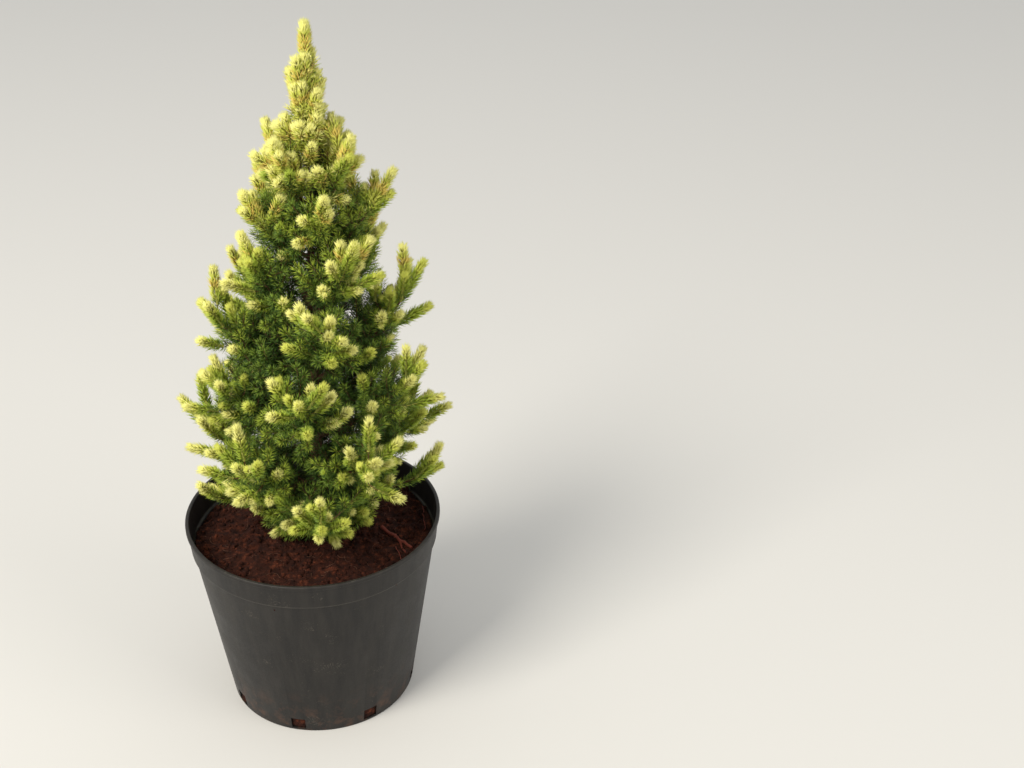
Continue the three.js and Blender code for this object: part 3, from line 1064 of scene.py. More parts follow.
@dataclass
class Limb:
    """One limb of the crown, curved from the trunk's middle to its tip."""

    name: str
    key: int
    turn: float
    core: float
    sprays: int
    thickness: float
    bough: float
    corners: Array
    root_radius: float = 3.6
    join_radius: float = 2.3
    tip_radius: float = 1.1
    join: float = 0.42
    stem_gap: float = 0.3
    stem_root: float = 0.02
    # Straight pieces that its length is measured in
    length_pieces: int = 200

    def point(self, share: float | Array) -> Array:
        """Point at each share of the curve."""
        return bent(*self.corners, np.asarray(share)[..., None])

    def ahead(self, share: float) -> Array:
        """Direction of the curve at a share of it."""
        start, bend, end = self.corners
        return unit((1 - share) * (bend - start) + share * (end - bend))

    @property
    def length(self) -> float:
        """Length of the curve."""
        points = self.point(np.linspace(0, 1, self.length_pieces + 1))
        return float(np.linalg.norm(np.diff(points, axis=0), axis=1).sum())

    @property
    def stem_start(self) -> float:
        """Share of the curve at which the mass's own stem starts.

        Returns:
            The share: past the bough, or close to the trunk where there is no bough.
        """
        if self.key == 0:
            return 0.0
        return self.bough + self.stem_gap / self.length if self.bough else self.stem_root

    def radius(self, share: float) -> float:
        """Finds the wood's radius.

        Args:
            share: share of the curve.

        Returns:
            The radius there.
        """
        if share < self.join:
            return self.thickness * mix(self.root_radius, self.join_radius, share / self.join)
        rest = (share - self.join) / (1 - self.join)
        return self.thickness * mix(self.join_radius, self.tip_radius, rest)


@dataclass
class Spray:
    """A main twig of a mass: where it leaves the stem, and the needled part from a to b."""

    limb: Limb
    root: Array
    a: Array
    b: Array
    radius: float


def gaps_to(a: Array, b: Array, starts: Array, ends: Array) -> Array:
    """Shortest distances from one straight piece to many others.

    Args:
        a: start of the piece.
        b: end of the piece.
        starts: starts of the others, one row each.
        ends: ends of the others.

    Returns:
        One distance for each of the others.
    """
    u, v, w = b - a, ends - starts, a - starts
    uu, uv, vv = u @ u, v @ u, (v * v).sum(1)
    uw, vw = w @ u, (v * w).sum(1)
    cross = uu * vv - uv * uv
    s = np.where(cross > TINY, np.clip((uv * vw - vv * uw) / np.maximum(cross, TINY), 0, 1), 0)
    t = np.clip((uv * s + vw) / vv, 0, 1)
    s = np.clip((uv * t - uw) / uu, 0, 1)
    return np.linalg.norm(w + u * s[:, None] - v * t[:, None], axis=1)


@dataclass
class GrowthRule:
    """The part's own rule for its limbs and main twigs, written again so that both grow alike."""

    trunk: Trunk
    pot: NurseryPot
    # Height of the leading shoot's tip
    top: float = 719.0
    # The leading shoot's own turn, the radius of its heart and its sprays
    leader: tuple = (90.0, 10.0, 8)
    tiers: tuple = (
        Tier("crest", 4, 330, 622, 46, 72, 15, 6),
        Tier("shoulder", 5, 0, 580, 62, 84, 20, 6),
        Tier("upper", 4, 38, 535, 78, 98, 28, 8, 0.3),
        Tier("high", 5, 0, 476, 93, 105, 32, 8, 0.3),
        Tier("middle", 5, 342, 405, 106, 100, 38, 8, 0.32),
        Tier("low", 5, 20, 330, 114, 84, 42, 8, 0.32),
        Tier("skirt", 4, 8, 262, 106, 46, 40, 8, 0.32),
    )
    # Limbs that stand out of the even cone: what each adds to its tier's reach, tip and turn
    plumes: dict = field(
        default_factory=lambda: {
            "shoulder_1": (18, 4, 0),
            "upper_3": (-6, 8, 0),
            "high_1": (12, 22, 0),
            "high_4": (8, -12, -22),
            "middle_1": (6, -4, 0),
            "middle_4": (-2, -14, 0),
            "low_1": (4, 0, 0),
            "low_3": (3, 2, 14),
            "skirt_1": (22, -4, 0),
            "skirt_3": (-4, -8, 0),
        }
    )
    # Limbs: the reach of the thickest, the thinnest's share of it, and the spread of their roots.
    # Twigs: how far they open at a stem's root and tip, the leader's share of that, how much they
    # lift, and how flat they lie.
    full_reach: float = 125.0
    thinnest: float = 0.45
    stagger: float = 34.0
    open_root: float = 64.0
    open_tip: float = 32.0
    leader_open: float = 0.45
    lift: float = 0.3
    flatness: float = 0.8
    # Tries at a twig, room between two, the heart's share of a mass and its room, and the reach
    # of needles and the lengths that give a spray its size
    tries: int = 12
    spacing: float = 13.0
    core_share: float = 0.42
    core_margin: float = 0.8
    core_step: float = 2.0
    stem_end: float = 0.9
    last_spray: float = 36.0
    needle_out: float = 0.19
    core_reach: float = 1.4
    spray_length: float = 46.0
    top_length: float = 30.0
    shortest: float = 24.0
    sunk: float = 8.0
    # How far a limb's turn, reach and height stray from its tier's, and how its curve bends
    turn_sway: float = 8.0
    reach_sway: float = 6.0
    height_sway: float = 10.0
    bend_out: float = 0.6
    bend_up: float = 0.3
    # Marks along a limb, by which its space is measured, and straight pieces of its wood and of
    # the trunk, for the twigs to keep clear of
    first_mark: float = 0.08
    mark_count: int = 23
    wood_pieces: int = 5
    trunk_pieces: int = 6
    # Where a twig is tested, and its room from the pot's rim, from the compost and in its space
    test_shares: tuple = (0.3, 0.65, 1)
    rim_room: float = 3.0
    soil_room: float = 2.0
    own_room: float = 0.9
    # Twigs along a stem: where they start and end, the first one's roll, how far each new try
    # rolls and shortens, how their opening and length stray, and the stem that grows full ones
    first_twig: float = 0.12
    twig_span: float = 0.8
    first_roll: float = 25.0
    roll_sway: float = 75.0
    open_sway: float = 20.0
    length_sway: float = 0.3
    shortening: float = 0.05
    full_thickness: float = 1.2
    limbs: list = field(init=False)
    sprays: list = field(init=False)
    marks: Array = field(init=False)

    def __post_init__(self) -> None:
        """Lays out the limbs and grows the sprays of each."""
        self.limbs = self.lay_out()
        places = np.linspace(self.first_mark, 1, self.mark_count)
        self.marks = np.stack([limb.point(places) for limb in self.limbs])
        self.sprays = [self.end_spray(limb) for limb in self.limbs]
        for number in range(len(self.limbs)):
            self.grow(number)

    def lay_out(self) -> list[Limb]:
        """Lays out the crown's limbs.

        Returns:
            Every limb, from the leading shoot down.
        """
        foot, tip = self.trunk.axis(self.trunk.top + self.trunk.gap), self.trunk.axis(self.top)
        corners = np.array([foot, (foot + tip) / 2, tip])
        limbs = [Limb("leader", 0, *self.leader, self.thinnest, 0, corners)]
        for row, tier in enumerate(self.tiers):
            for number in range(1, tier.count + 1):
                name = f"{tier.name}_{number}"
                more_reach, more_tip, more_turn = self.plumes.get(name, (0, 0, 0))
                # Its tens are the tier's and its ones the limb's
                key = 10 * (row + 1) + number
                turn = tier.turn + (number - 1) * 360 / tier.count + more_turn
                turn += self.turn_sway * (chance(key, 1) - 0.5)
                reach = tier.reach + more_reach + self.reach_sway * (chance(key, 2) - 0.5)
                height = tier.tip + more_tip + self.height_sway * (chance(key, 3) - 0.5)
                stagger = self.stagger * ((number * GOLDEN / 360) % 1 - 0.5)
                start = self.trunk.axis(tier.tip - tier.rise + stagger)
                bend = start + outwards(turn) * reach * self.bend_out
                bend = bend + UP * tier.rise * self.bend_up
                end = self.trunk.axis(height) + outwards(turn) * reach
                thickness = mix(self.thinnest, 1, reach / self.full_reach)
                corners = np.array([start, bend, end])
                limbs.append(
                    Limb(name, key, turn, tier.core, tier.sprays, thickness, tier.bough, corners)
                )
        return limbs

    def depth(self, point: Array, number: int) -> float:
        """Tells how far a point lies inside a limb's own space.

        Args:
            point: the point.
            number: the limb's number.

        Returns:
            Its distance from the nearest border, half way to another limb.
        """
        away = ((self.marks - point) ** 2).sum(-1)
        near = away.argmin(1)
        rows = np.arange(len(self.limbs))
        there, squared = self.marks[rows, near], away[rows, near]
        gap = squared - squared[number]
        apart = 2 * np.linalg.norm(there - there[number], axis=1)
        gap[number], apart[number] = np.inf, 1.0
        return float((gap / apart).min())

    def clears_pot(self, a: Array, b: Array, radius: float) -> bool:
        """Tests a twig against the compost and the pot.

        Args:
            a: its start.
            b: its end.
            radius: its radius.

        Returns:
            True where it stays above the compost and clear of the rim.
        """
        pot = self.pot
        inside = pot.rim_radius - pot.lip_proud - pot.wall - radius - self.rim_room
        for share in self.test_shares:
            x, y, z = mix(a, b, share)
            if z < self.trunk.foot - self.trunk.gap + radius + self.soil_room:
                return False
            if z < pot.height + radius + self.rim_room and math.hypot(x, y) > inside:
                return False
        return True

    def room(self, number: int, start: Array, aim: Array) -> float:
        """Finds a limb's room on one side, up to its core's full size.

        Args:
            number: the limb's number.
            start: point of its stem.
            aim: direction from there.

        Returns:
            How far its space goes that way.
        """
        room = 0.0
        for reach in np.arange(self.core_step, self.limbs[number].core + TINY, self.core_step):
            point = start + aim * reach
            if self.depth(point, number) <= self.core_margin:
                break
            if not self.clears_pot(point, point, self.core_margin):
                break
            room = float(reach)
        return room

    def end_spray(self, limb: Limb) -> Spray:
        """The spray that ends a limb."""
        start = limb.point(1 - self.last_spray / limb.length)
        return self.make_spray(limb, start, start, limb.point(1.0))

    def make_spray(self, limb: Limb, root: Array, a: Array, b: Array) -> Spray:
        """A spray with the radius that its needles reach."""
        length = float(np.linalg.norm(b - a))
        return Spray(limb, root, a, b, self.needle_out * length + self.core_reach)

    def aim(self, limb: Limb, share: float, roll: float, opened: float) -> Array:
        """Finds the direction of a twig.

        Args:
            limb: the limb that it leaves.
            share: share of the limb's curve.
            roll: radians that it is rolled round the stem.
            opened: radians between it and the stem.

        Returns:
            The direction, lifted a little.
        """
        ahead = limb.ahead(share)
        side = outwards(limb.turn + 90)
        below = np.cross(side, ahead)
        away = unit(side * math.cos(roll) + below * self.flatness * math.sin(roll))
        return unit(ahead * math.cos(opened) + away * math.sin(opened) + UP * self.lift)

    def pieces(self, limb: Limb, start: float, end: float) -> list[tuple[Array, Array, float]]:
        """Cuts part of a limb into straight pieces.

        Args:
            limb: the limb.
            start: share of its curve where the part starts.
            end: share where it ends.

        Returns:
            Start, end and radius of each piece.
        """
        shares = np.linspace(start, end, self.wood_pieces + 1)
        points = limb.point(shares)
        return [(a, b, limb.radius(share)) for a, b, share in zip(points, points[1:], shares)]

    def solids_round(self, number: int) -> tuple[Array, Array, Array]:
        """Lists the wood that a limb's sprays keep clear of.

        Args:
            number: the limb's number.

        Returns:
            Starts, ends and radii of its straight pieces.
        """
        trunk = self.trunk
        levels = np.linspace(trunk.foot, trunk.top, self.trunk_pieces + 1)
        solids = [
            (trunk.axis(low), trunk.axis(high), trunk.girth(low))
            for low, high in zip(levels[:-1], levels[1:])
        ]
        for other, limb in enumerate(self.limbs):
            if limb.bough:
                solids += self.pieces(limb, 0, limb.bough)
            if other != number:
                solids += self.pieces(limb, limb.stem_start, self.stem_end)
        starts, ends, radii = zip(*solids)
        return np.array(starts), np.array(ends), np.array(radii)

    def grow(self, number: int) -> None:
        """Grows the sprays of one mass.

        Args:
            number: its limb's number.
        """
        limb = self.limbs[number]
        solids = self.solids_round(number)
        for twig in range(limb.sprays):
            along = (twig + 0.5) / limb.sprays
            place = self.first_twig + self.twig_span * along
            share = mix(limb.stem_start, self.stem_end, place)
            for attempt in range(self.tries):
                spray = self.attempt(number, twig, attempt, along, share)
                if self.fits(spray, number, solids):
                    self.sprays.append(spray)
                    break

    def attempt(self, number: int, twig: int, attempt: int, along: float, share: float) -> Spray:
        """One try at a spray.

        Args:
            number: the limb's number.
            twig: the twig's number on it.
            attempt: which try this is.
            along: place of the twig in its row, from 0 to 1.
            share: share of the limb's curve at which it leaves.

        Returns:
            The spray, which may not fit.
        """
        limb = self.limbs[number]
        sway = [chance(limb.key, twig, attempt, salt) - 0.5 for salt in (4, 5, 6)]
        roll = math.radians(GOLDEN * twig + self.first_roll + self.roll_sway * attempt * sway[0])
        widest = mix(self.open_root, self.open_tip, along) + self.open_sway * sway[1]
        opened = math.radians(widest * (self.leader_open if limb.key == 0 else 1))
        aim = self.aim(limb, share, roll, opened)
        stem = limb.point(share)
        surface = self.core_share * self.room(number, stem, aim)
        start = stem + aim * max(surface - self.sunk, 0)
        strength = min(limb.thickness * self.full_thickness, 1)
        full = mix(self.top_length, self.spray_length, strength)
        length = full * (1 + self.length_sway * sway[2] - self.shortening * attempt)
        return self.make_spray(limb, stem, start, start + aim * max(length, self.shortest))

    def fits(self, spray: Spray, number: int, solids: tuple[Array, Array, Array]) -> bool:
        """Tests a try at a spray.

        Args:
            spray: the try.
            number: its limb's number.
            solids: starts, ends and radii of the wood round it.

        Returns:
            True where it keeps its space, touches nothing and isn't crowded.
        """
        if not self.clears_pot(spray.a, spray.b, spray.radius):
            return False
        for share in self.test_shares:
            inside = self.depth(mix(spray.a, spray.b, share), number)
            if inside < spray.radius * self.own_room:
                return False
        others = [other for other in self.sprays if other.limb is not spray.limb]
        rows = [np.array(row) for row in zip(*((o.a, o.b, o.radius) for o in others))]
        for starts, ends, radii in (solids, rows):
            if (gaps_to(spray.a, spray.b, starts, ends) < radii + spray.radius).any():
                return False
        own = [other for other in self.sprays if other.limb is spray.limb]
        starts, ends = np.array([(o.a + o.b) / 2 for o in own]), np.array([o.b for o in own])
        return not (gaps_to((spray.a + spray.b) / 2, spray.b, starts, ends) < self.spacing).any()


@dataclass(frozen=True)
class BarkRelief:
    """Raised flakes of bark: their width and how far they stand out, then how much taller than
    wide they are, how flat their middle is, and the finer roughness on them."""

    flake: float
    relief: float
    tallness: float = 1.8
    flatness: float = 2.2
    level: float = 0.6
    fine_share: float = 0.5
    fineness: float = 2.7

    def rise(self, place: Array) -> float:
        """Finds how far the bark stands out.

        Args:
            place: a point of the bare wood.

        Returns:
            The rise there.
        """
        x, y, z = place / self.flake
        spot = Vector((x, y, z / self.tallness))
        cells = noise.voronoi(spot)[0]
        edge = min(1.0, (cells[1] - cells[0]) * self.flatness)
        fine = self.fine_share * self.relief * noise.noise(spot * self.fineness)
        return self.relief * (edge - self.level) + fine


def barked_tube(path: Array, girths: Array, sides: int, bark: BarkRelief) -> tuple[Array, list]:
    """Sweeps a round limb along a path, its bark raised in flakes.

    Args:
        path: points of its middle line.
        girths: its radius at each point.
        sides: faces round it.
        bark: relief of its bark.

    Returns:
        Points and faces, closed at both ends.
    """
    ahead = unit(np.gradient(path, axis=0))
    across = unit(np.cross(ahead, CROSSWAYS))
    other = np.cross(ahead, across)
    points = []
    for middle, a, b, girth in zip(path, across, other, girths):
        for k in range(sides):
            angle = 2 * math.pi * k / sides
            out = a * math.cos(angle) + b * math.sin(angle)
            place = middle + out * girth
            points.append(place + out * bark.rise(place))
    faces = []
    for ring in range(len(path) - 1):
        low, high = ring * sides, (ring + 1) * sides
        for k in range(sides):
            j = (k + 1) % sides
            faces.append((low + k, low + j, high + j, high + k))
    faces.append(tuple(range(sides - 1, -1, -1)))
    faces.append(tuple((len(path) - 1) * sides + k for k in range(sides)))
    return np.array(points), faces


@dataclass
class Wood:
    """Trunk and boughs with the bark's relief."""

    rule: GrowthRule
    trunk_step: float = 1.5
    trunk_sides: int = 44
    trunk_bark: BarkRelief = BarkRelief(4.2, 0.7)
    bough_step: float = 1.2
    fewest_rings: int = 6
    bough_sides: int = 16
    bough_bark: BarkRelief = BarkRelief(2.4, 0.3)
    sunk: float = 1.5
    # How far a bough runs on into its mass, as a share of the limb
    overlap: float = 0.02

    def build(self) -> None:
        """Makes and dresses the trunk and the boughs."""
        finish = SpruceBark().material()
        trunk = self.rule.trunk
        count = int((trunk.top - trunk.foot) / self.trunk_step)
        levels = np.linspace(trunk.foot - self.sunk, trunk.top, count)
        path = np.array([trunk.axis(z) for z in levels])
        girths = np.array([trunk.girth(max(z, trunk.foot)) for z in levels])
        points, faces = barked_tube(path, girths, self.trunk_sides, self.trunk_bark)
        stem = link_object("trunk_bark", mesh_from("trunk_bark", points, faces))
        keep_piece(stem, ["trunk"], finish)
        self.build_boughs(finish)

    def build_boughs(self, finish: Material) -> None:
        """Makes the boughs, joined into one piece.

        Args:
            finish: their bark.
        """
        points, faces, names = [], [], []
        for limb in self.rule.limbs:
            if not limb.bough:
                continue
            names.append(f"bough_{limb.name}")
            count = max(int(limb.bough * limb.length / self.bough_step), self.fewest_rings)
            shares = np.linspace(0, limb.bough + self.overlap, count)
            girths = np.array([limb.radius(share) for share in shares])
            spots, sides = barked_tube(
                limb.point(shares), girths, self.bough_sides, self.bough_bark
            )
            first = sum(len(part) for part in points)
            faces += [tuple(first + corner for corner in side) for side in sides]
            points.append(spots)
        mesh = mesh_from("bough_bark", np.concatenate(points), faces)
        keep_piece(link_object("bough_bark", mesh), names, finish)


@dataclass(frozen=True)
class NeedleStyle:
    """How the needles of one kind of growth stand: their length and width, how many there are
    to a mm, how far they open from the twig at its root and its end, their size against the
    full length there, and how many close its tip."""

    length: float
    width: float
    per_mm: float
    open_root: float
    open_end: float
    root_size: float
    end_size: float
    closing: int


class Growth(Enum):
    """Kinds of growth that bear needles."""

    INNER = NeedleStyle(11.0, 0.9, 0.7, 64, 50, 1.0, 0.9, 3)
    LAST_YEAR = NeedleStyle(11.0, 0.7, 1.8, 60, 42, 1.0, 0.85, 6)
    SOFT_SHOOT = NeedleStyle(12.5, 1.05, 6.6, 44, 27, 0.85, 0.82, 38)


class Dress(Enum):
    """Tints dealt to a spray, from its root to its tip."""

    SHADED = (Tint.DEEP,)
    LEAFY = (Tint.DEEP, Tint.MID)
    OPEN = (Tint.MID, Tint.MID, Tint.FRESH)
    BRIGHT = (Tint.MID, Tint.FRESH, Tint.LIME)
    GREEN_SHOOT = (Tint.FRESH, Tint.FRESH, Tint.LIME)
    LIME_SHOOT = (Tint.FRESH, Tint.LIME, Tint.LIME, Tint.LEMON)
    LEMON_SHOOT = (Tint.FRESH, Tint.LIME, Tint.LIME, Tint.LEMON, Tint.CREAM)
    CREAMY_SHOOT = (Tint.LIME, Tint.LIME, Tint.LEMON, Tint.CREAM, Tint.CREAM)
    GOLDEN_SHOOT = (Tint.LEMON, Tint.LEMON, Tint.GOLD, Tint.LEMON, Tint.CREAM)


@dataclass(frozen=True)
class Layer:
    """A layer of shoots through the crown: its share of the reach, its spacing, and how many of
    its shoots are soft and pale."""

    share: float
    spacing: float
    bright: float


@dataclass(frozen=True)
class SideHabit:
    """How a kind of side twig grows: its shoot's length, the least and most that it opens in
    degrees, how much it lifts, and the size of its needles."""

    shoot: float
    opening: tuple
    lift: float
    size: float


@dataclass
class Crown:
    """Twigs and needles that grow on from the limbs, in place of the frame's masses.

    Exposure, also called shown, is how near the crown's outside a place lies: 0 in the middle
    and 1 on the outline. Brightness is the chance that a twig ends in a soft pale shoot. Where a
    pair has no other comment, it is the least and the most of a random choice.
    """

    rule: GrowthRule
    needle_limit: int = 48000
    layers: tuple = (
        Layer(1.0, 28.0, 0.38),
        Layer(0.82, 24.0, 0.04),
        Layer(0.62, 27.0, 0.0),
        Layer(0.4, 30.0, 0.0),
    )
    # Outline that the finer twigs fill up to, as heights and reaches, and how steeply shoots
    # stand at each height. The limbs' own ends stand out of it, the more so higher up.
    heights: tuple = (190, 225, 262, 330, 405, 476, 535, 580, 614, 632, 655, 690, 714)
    reaches: tuple = (42, 62, 88, 97, 90, 73, 55, 43, 33, 24, 16, 9, 3)
    slopes: tuple = (8, 24, 40, 54, 62, 69, 75, 80, 83, 84, 85, 86, 87)
    # How many of the shoots there are soft and pale, against the layer's own share
    pales: tuple = (1, 1, 1, 0.9, 0.65, 0.65, 0.9, 1, 1, 1, 1, 1, 1)
    # How far the outline draws in between the limbs, and the width that each limb keeps full
    recesses: tuple = (0.0, 0.03, 0.05, 0.1, 0.15, 0.2, 0.2, 0.2, 0.15, 0.1, 0, 0, 0)
    plume_width: float = 24.0
    # The limbs' marks that count as their outer ends, from this one on
    plume_marks: int = 12
    # How far past that outline a twig that isn't a limb's own end may stand
    limits: tuple = (1.9, 1.9, 1.9, 1.4, 1.36, 1.45, 1.5, 1.6, 1.6, 1.6, 2, 2, 2)
    # The crown's underside: how low a shoot may end at each reach
    under_reaches: tuple = (0, 50, 75, 105, 140)
    under_heights: tuple = (190, 198, 222, 250, 262)
    least_reach: float = 7.0
    # The spire: the heights between which it comes in, its spacing against a layer's, across
    # and up, the crown's own upwards, and the trunk's places that its twigs leave from
    spire: tuple = (560, 630)
    spire_across: float = 0.66
    spire_up: float = 1.15
    crown_up: float = 0.9
    spire_foot: float = 590.0
    spire_step: float = 8.0
    # A limb's own stem: its overlap with the bough, its points, its radius against the bough's,
    # its shoot, and the room that every tip leaves for its needles
    stem_overlap: float = 0.01
    stem_points: int = 16
    stem_girth: float = 0.9
    lead_length: float = 42.0
    tip_room: float = 4.0
    # Shoots along a limb's end: where they start, their spacing, the tip's bare end, their length
    # against the limb that is left, the most of that, and their brightness
    plume_from: float = 0.5
    plume_step: float = 17.0
    plume_least: float = 26.0
    plume_reach: tuple = (0.7, 0.95)
    plume_longest: float = 40.0
    plume_bright: float = 0.75
    # The rule's main twigs: bend and sag of their path, brightness, and that of their sides
    shoot_length: float = 31.0
    main_bend: float = 0.6
    main_sag: float = 0.18
    main_bright: float = 0.5
    main_side_bright: float = 0.06
    # Layers: the first ring's height over the lowest, how much of the leading shoot stays free,
    # and how far shoots stray in turn, height, reach, slope and direction
    first_ring: float = 8.0
    crest_room: float = 0.6
    turn_sway: float = 0.3
    height_sway: float = 0.4
    reach_sway: tuple = (-5, 2)
    least_radius: float = 3.0
    slope_sway: float = 9.0
    aim_sway: float = 20.0
    # Choice of the place that a layer's twig leaves from: what a right angle to its aim costs
    # and what too short a twig does, in mm, and the longest. Then the room from the pot, how far
    # back it bends, its shoot's share of the full length, and its sides' brightness.
    turn_cost: float = 45.0
    short_cost: float = 50.0
    longest: float = 85.0
    pot_room: float = 2.0
    fill_bend: float = 0.5
    fill_shoot: tuple = (0.6, 1)
    fill_side_bright: float = 0.02
    # Any twig: points, sides of a main and of a thin one, spread of its shoot's length, how much
    # longer the spire's are, the most of a twig that its shoot takes, and the twig's radius
    twig_points: int = 9
    twig_sides: int = 4
    thin_sides: int = 3
    fresh_sway: tuple = (0.85, 1.15)
    spire_fresh: float = 1.5
    most_fresh: float = 0.85
    twig_girth: float = 0.85
    # Side twigs: one to so many mm, the most of them, the part of the twig that they leave,
    # their length, their brightness in the spire, their radius, points and sag, and how far the
    # line from which their turn is measured is off upright
    side_every: float = 16.0
    most_sides: int = 3
    side_shares: tuple = (0.3, 0.66)
    side_reach: tuple = (12, 19)
    spire_side_bright: float = 0.15
    side_girth: float = 0.5
    side_points: int = 4
    side_sag: float = 0.05
    off_upright: float = 0.01
    small_side: SideHabit = SideHabit(15.0, (32, 48), 0.2, 0.8)
    plume_side: SideHabit = SideHabit(30.0, (22, 34), 0.4, 0.95)
    # Exposure past which a side twig may be soft, and past which it always is or isn't there
    soft_from: float = 0.72
    always_soft: float = 1.02
    # Buds: exposure from which they show, their extra chance, their length and needles' size
    bud_from: float = 0.85
    bud_share: float = 0.1
    bud_length: float = 4.0
    bud_size: float = 0.6
    # Wood: radius over which a twig is a main one, points of its old part, its taper, the least
    # radius of old wood, that of a green end, and those of a soft shoot's ends
    main_girth: float = 0.7
    old_points: int = 6
    taper: float = 0.3
    thinnest: float = 0.4
    tip_girth: float = 0.3
    soft_girths: tuple = (2.0, 1.3)
    # Greens: exposure under which growth is sparse, and under which it is shaded, by height,
    # then the band of leaf green past that and its chance further out
    sparse_under: float = 0.66
    shade_heights: tuple = (420, 600)
    shaded_under: tuple = (0.7, 0.4)
    leafy_band: float = 0.16
    leafy_share: float = 0.35
    # Soft shoots: golden ones by height, exposure under which a green one may stand, and the
    # dealt number under which each tint comes, on a main twig and on a side twig
    golden_heights: tuple = (470, 610, 640)
    golden_shares: tuple = (0.0, 0.85, 1.0)
    green_under: float = 0.98
    green_deals: tuple = (0.08, 0.2)
    lime_deals: tuple = (0.3, 0.5)
    lemon_deal: float = 0.75
    # Needles: the fewest on a stretch, their place in it, how they crowd towards its end, where
    # the closing ones start, stray in degrees of roll and opening, spread of their length, and
    # how far tints blend, in layers, along the stretch and at its end
    fewest: int = 4
    place_sway: tuple = (0.1, 0.9)
    crowding: float = 0.85
    closing_from: float = 0.95
    roll_sway: float = 20.0
    open_sway: float = 5.0
    length_sway: tuple = (0.9, 1.08)
    blends: tuple = (0.3, 0.8)
    # Room that needles leave inside the pot's wall, over its rim and over the compost
    wall_room: float = 4.0
    rim_room: float = 2.0
    soil_room: float = 1.0
    needles: dict = field(default_factory=lambda: {tint: [] for tint in Tint})
    old_twigs: Strands = field(default_factory=Strands)
    side_twigs: Strands = field(default_factory=Strands)
    new_twigs: Strands = field(default_factory=Strands)
    dice: np.random.Generator = field(default_factory=lambda: np.random.default_rng(SEED))

    def at_height(self, z: float, values: tuple) -> float:
        """Value at a height, from a row of values for the outline's heights."""
        return float(np.interp(z, self.heights, values))

    def in_spire(self, z: float) -> float:
        """How far up into the pale spire a height is, from 0 to 1."""
        return float(np.clip((z - self.spire[0]) / (self.spire[1] - self.spire[0]), 0, 1))

    def exposure(self, point: Array) -> float:
        """How near the crown's outside a point lies, 1 on it."""
        away = float(np.linalg.norm(point[:2] - self.rule.trunk.axis(point[2])[:2]))
        return away / max(self.at_height(point[2], self.reaches), self.least_reach)

    def build(self) -> None:
        """Grows, makes and dresses the twigs and the needles."""
        for limb in self.rule.limbs:
            self.grow_plume(limb)
        for spray in self.rule.sprays:
            self.grow_main(spray)
        for layer in self.layers:
            self.fill_layer(layer)
        masses = [f"foliage_{limb.name}" for limb in self.rule.limbs]
        bark = PlainMatt("smooth_twig_bark", "#6b4a30").material()
        soft = PlainMatt("soft_shoot_stem", "#b3b256").material()
        keep_piece(self.old_twigs.build("main_twigs", self.twig_sides, bark), masses)
        keep_piece(self.side_twigs.build("side_twigs", self.thin_sides, bark), masses)
        keep_piece(self.new_twigs.build("shoot_stems", self.thin_sides, soft), masses)
        self.build_needles(masses)

    def grow_plume(self, limb: Limb) -> None:
        """Carries a limb's own stem through its mass, with shoots along its outer end.

        Args:
            limb: the limb.
        """
        end = 1 - self.tip_room / limb.length
        start = max(limb.stem_start - self.stem_overlap, 0)
        path = limb.point(np.linspace(start, end, self.stem_points))
        girth = self.stem_girth * limb.radius(start)
        self.finish_twig(path, self.lead_length, girth, 1.0, True)
        last = end - self.plume_least / limb.length
        count = max(int(limb.length * (last - self.plume_from) / self.plume_step), 2)
        turn = self.dice.uniform(0, 360)
        for number in range(count if limb.key else 0):
            share = mix(self.plume_from, last, (number + 0.5) / count)
            left = (end - share) * limb.length
            reach = self.dice.uniform(*self.plume_reach) * min(self.plume_longest, left)
            at, ahead, roll = limb.point(share), limb.ahead(share), turn + GOLDEN * number
            self.grow_side(at, ahead, roll, reach, self.plume_side, self.plume_bright)

    def hangs_low(self, tip: Array) -> bool:
        """Tells whether a shoot's end would hang below the crown's underside."""
        return tip[2] < np.interp(math.hypot(*tip[:2]), self.under_reaches, self.under_heights)

    def grow_main(self, spray: Spray) -> None:
        """Grows one of the rule's main twigs, with a soft shoot at its end.

        Args:
            spray: the spray that it carries.
        """
        if self.hangs_low(spray.b):
            return
        span = spray.b - spray.root
        length = float(np.linalg.norm(span))
        tip = spray.b - span * self.tip_room / length
        bend = spray.root + span * self.main_bend - UP * self.main_sag * length
        bright, fresh = self.main_bright, self.shoot_length
        self.grow_twig(spray.root, bend, tip, bright, fresh, self.main_side_bright)

